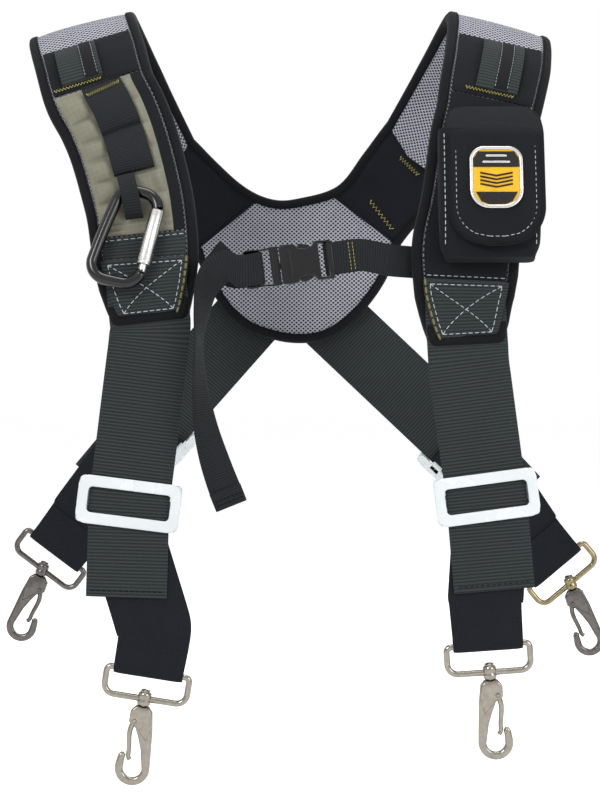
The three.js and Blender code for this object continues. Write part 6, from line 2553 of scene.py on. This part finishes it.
@dataclass
class Carabiner:
    """The black accessory carabiner with its bright screw sleeve."""

    width: float = 35.0
    height: float = 67.0
    bar: float = 7.5
    corner: float = 10.5
    top_left: float = -12.5
    bottom_left: float = -17.5

    def __post_init__(self) -> None:
        """Work out where the carabiner hangs on the third loop."""
        pad = PADS[Side.LEFT]
        f = pad.frame(pad.at(-116))
        hang = f.at(2, PANEL_LOW + 2.5 + self.bar / 2 + 1.6)
        turn = Matrix.Rotation(math.radians(-13), 4, "X") @ Matrix.Rotation(math.radians(13), 4, "Y")
        self.where = Matrix.Translation(hang) @ turn

    def build(self) -> None:
        """Make the body, gate and sleeve."""
        w, h = (self.width - self.bar) / 2, self.height - self.bar
        r = self.corner
        gate_top, gate_bottom = -8.2, -h + 8.2
        narrow, wide = self.top_left, self.bottom_left
        line = [(w, gate_top)] + arc(w - r, -r, r, 12, 90, 9) + arc(narrow + r, -r, r, 90, 172, 10)
        line += [((narrow + wide) / 2 - 0.2, -h * 0.46)] + arc(wide + r, -h + r, r, 172, 270, 10)
        line += arc(w - r, -h + r, r, 270, 348, 9) + [(w, gate_bottom)]
        spline = Spline([Vector((x, 0, z)) for x, z in line])
        points = spline.samples(150)
        body = rings_mesh(tube_rings(points, lambda _: self.bar / 2 - 0.1, 18, squash=0.93))
        assemble("carabiner_frame", [body], self.where, "carabiner", ANODISED, "carabiner_body")
        rod_profile = [(0.01, gate_bottom + 1.1), (2.2, gate_bottom + 1.1), (2.65, gate_bottom + 1.6),
                       (2.65, gate_top - 1.2), (2.1, gate_top - 0.4), (0.01, gate_top - 0.3)]
        rod = lathe_mesh(rod_profile, 24)
        move(rod, w, 0, 0)
        hinge = lathe_mesh([(0.01, -2.6), (1.1, -2.6), (1.3, -2.3), (1.3, 2.3), (1.1, 2.6), (0.01, 2.6)], 16)
        across_y(hinge)
        move(hinge, w, 0, gate_bottom + 3.0)
        item = merge("carabiner_gate_rod", [place(rod, self.where), place(hinge, self.where)],
                     [FINISHES.get(BRUSHED_METAL)])
        settle(item, "carabiner_gate_body", ANODISED, "carabiner_gate")
        top, low = gate_top - 1.3, gate_top - 37.3
        inner, outer = 3.0, 4.4
        profile = [(inner, low), (outer - 0.5, low), (outer - 0.12, low + 0.2), (outer, low + 0.6)]
        profile += [(outer, low + 1.6), (outer - 0.15, low + 1.9), (outer, low + 2.2), (outer, top - 0.6),
                    (outer - 0.12, top - 0.2), (outer - 0.5, top), (inner, top)]
        sleeve = self.tube(profile)
        move(sleeve, w, 0, 0)
        assemble("carabiner_bright_sleeve", [sleeve], self.where, "carabiner_sleeve_body", BRUSHED_METAL,
                 "carabiner_sleeve")

    @staticmethod
    def tube(profile: Outline, sides: int = 32) -> bpy.types.Mesh:
        """Turn a closed profile of (radius, z) about Z into a hollow tube, in metres."""
        rings = []
        for i in range(sides):
            a = 2 * math.pi * i / sides
            rings.append([Vector((r * math.cos(a), r * math.sin(a), z)) for r, z in profile])
        return rings_mesh(rings, True)


# ---- studio ----


@dataclass
class Studio:
    """The camera, the pale floor and backdrop, and plain soft lights."""

    camera_distance: float = 1100.0
    front: float = -90.0
    look_height: float = -241.0
    lens: float = 80.0
    floor: float = -500.0
    floor_reach: float = 25.0

    def build(self) -> None:
        """Make the stage."""
        scene = bpy.context.scene
        scene.view_settings.view_transform = "Standard"
        self._camera(scene)
        self._world(scene)
        self._floor()
        self._lamp("key", (-900, -1500, 700), 620, 15.0)
        self._lamp("fill", (1100, -1200, 200), 900, 9.0)
        self._lamp("top", (100, -200, 1200), 900, 9.0)
        self._lamp("rim", (300, 1300, 500), 700, 7.0)

    def _camera(self, scene: bpy.types.Scene) -> None:
        """Put a level camera in front of the object.

        Args:
            scene: Gets the camera.
        """
        camera = bpy.data.cameras.new("camera")
        camera.lens = self.lens
        camera.sensor_width = 36.0
        camera.sensor_fit = "AUTO"
        camera.clip_start = 0.05
        item = bpy.data.objects.new("camera", camera)
        item.location = (0, (self.front - self.camera_distance) * MM, self.look_height * MM)
        item.rotation_euler = (math.pi / 2, 0, 0)
        scene.collection.objects.link(item)
        scene.camera = item

    def _world(self, scene: bpy.types.Scene) -> None:
        """Surround the object with white that is full to the camera and in reflections and dimmer as light.

        Args:
            scene: Gets the world.
        """
        world = bpy.data.worlds.new("studio")
        world.use_nodes = True
        scene.world = world
        nodes, links = world.node_tree.nodes, world.node_tree.links
        background = nodes["Background"]
        background.inputs["Color"].default_value = (1, 1, 1, 1)
        path = nodes.new("ShaderNodeLightPath")
        seen = nodes.new("ShaderNodeMath")
        seen.operation = "MAXIMUM"
        links.new(path.outputs["Is Camera Ray"], seen.inputs[0])
        links.new(path.outputs["Is Transmission Ray"], seen.inputs[1])
        glossy = nodes.new("ShaderNodeMath")
        glossy.operation = "MAXIMUM"
        links.new(seen.outputs[0], glossy.inputs[0])
        links.new(path.outputs["Is Glossy Ray"], glossy.inputs[1])
        strength = nodes.new("ShaderNodeMapRange")
        links.new(glossy.outputs[0], strength.inputs["Value"])
        strength.inputs["To Min"].default_value = 0.55
        strength.inputs["To Max"].default_value = 1.0
        links.new(strength.outputs[0], background.inputs["Strength"])

    def _floor(self) -> None:
        """Make the pale floor, a wide flat sheet that no view sees the edge of."""
        reach = self.floor_reach
        corners = ((-reach, -reach), (reach, -reach), (reach, reach), (-reach, reach))
        points = [(x, y, self.floor * MM) for x, y in corners]
        mesh = bpy.data.meshes.new("floor")
        mesh.from_pydata(points, [], [(0, 1, 2, 3)])
        material = bpy.data.materials.new("pale_paper")
        material.use_nodes = True
        sketch = NodeSketch(material)
        sketch.shader.inputs["Base Color"].default_value = (0.86, 0.86, 0.86, 1)
        sketch.shader.inputs["Roughness"].default_value = 0.95
        sketch.shader.inputs["Specular IOR Level"].default_value = 0.0
        path = sketch.add("ShaderNodeLightPath")
        seen = sketch.math("MAXIMUM", path.outputs["Is Camera Ray"], path.outputs["Is Glossy Ray"])
        seen = sketch.math("MAXIMUM", seen, path.outputs["Is Transmission Ray"])
        glow = sketch.add("ShaderNodeEmission")
        glow.inputs["Strength"].default_value = 0.52
        mix = sketch.add("ShaderNodeAddShader")
        off = sketch.add("ShaderNodeMixShader")
        sketch.links.new(sketch.shader.outputs[0], mix.inputs[0])
        sketch.links.new(glow.outputs[0], mix.inputs[1])
        sketch.links.new(seen, off.inputs[0])
        sketch.links.new(sketch.shader.outputs[0], off.inputs[1])
        sketch.links.new(mix.outputs[0], off.inputs[2])
        sketch.links.new(off.outputs[0], sketch.nodes["Material Output"].inputs["Surface"])
        mesh.materials.append(material)
        item = bpy.data.objects.new("floor", mesh)
        bpy.context.scene.collection.objects.link(item)

    def _lamp(self, name: str, spot: tuple[float, float, float], size: float, power: float) -> None:
        """Add a round lamp aimed at the middle of the object.

        Args:
            name: The lamp's name.
            spot: Where it stands.
            size: How wide it is.
            power: In watts.
        """
        lamp = bpy.data.lights.new(name, "AREA")
        lamp.shape = "DISK"
        lamp.size = size * MM
        lamp.energy = power
        item = bpy.data.objects.new(name, lamp)
        item.location = Vector(spot) * MM
        aim = Vector((0, -20, -230)) * MM - item.location
        item.rotation_euler = aim.to_track_quat("-Z", "Y").to_euler()
        bpy.context.scene.collection.objects.link(item)


def main() -> None:
    """Build the braces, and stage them."""
    logging.basicConfig(level=logging.INFO, format="%(name)s: %(message)s")
    Studio().build()
    build_pads()
    Yoke().build()
    for spec in STRAPS:
        Strap(spec).build()
    SternumStrap().build()
    Pouch().build()
    Carabiner().build()
    bpy.context.view_layer.update()


if __name__ == "__main__":
    main()
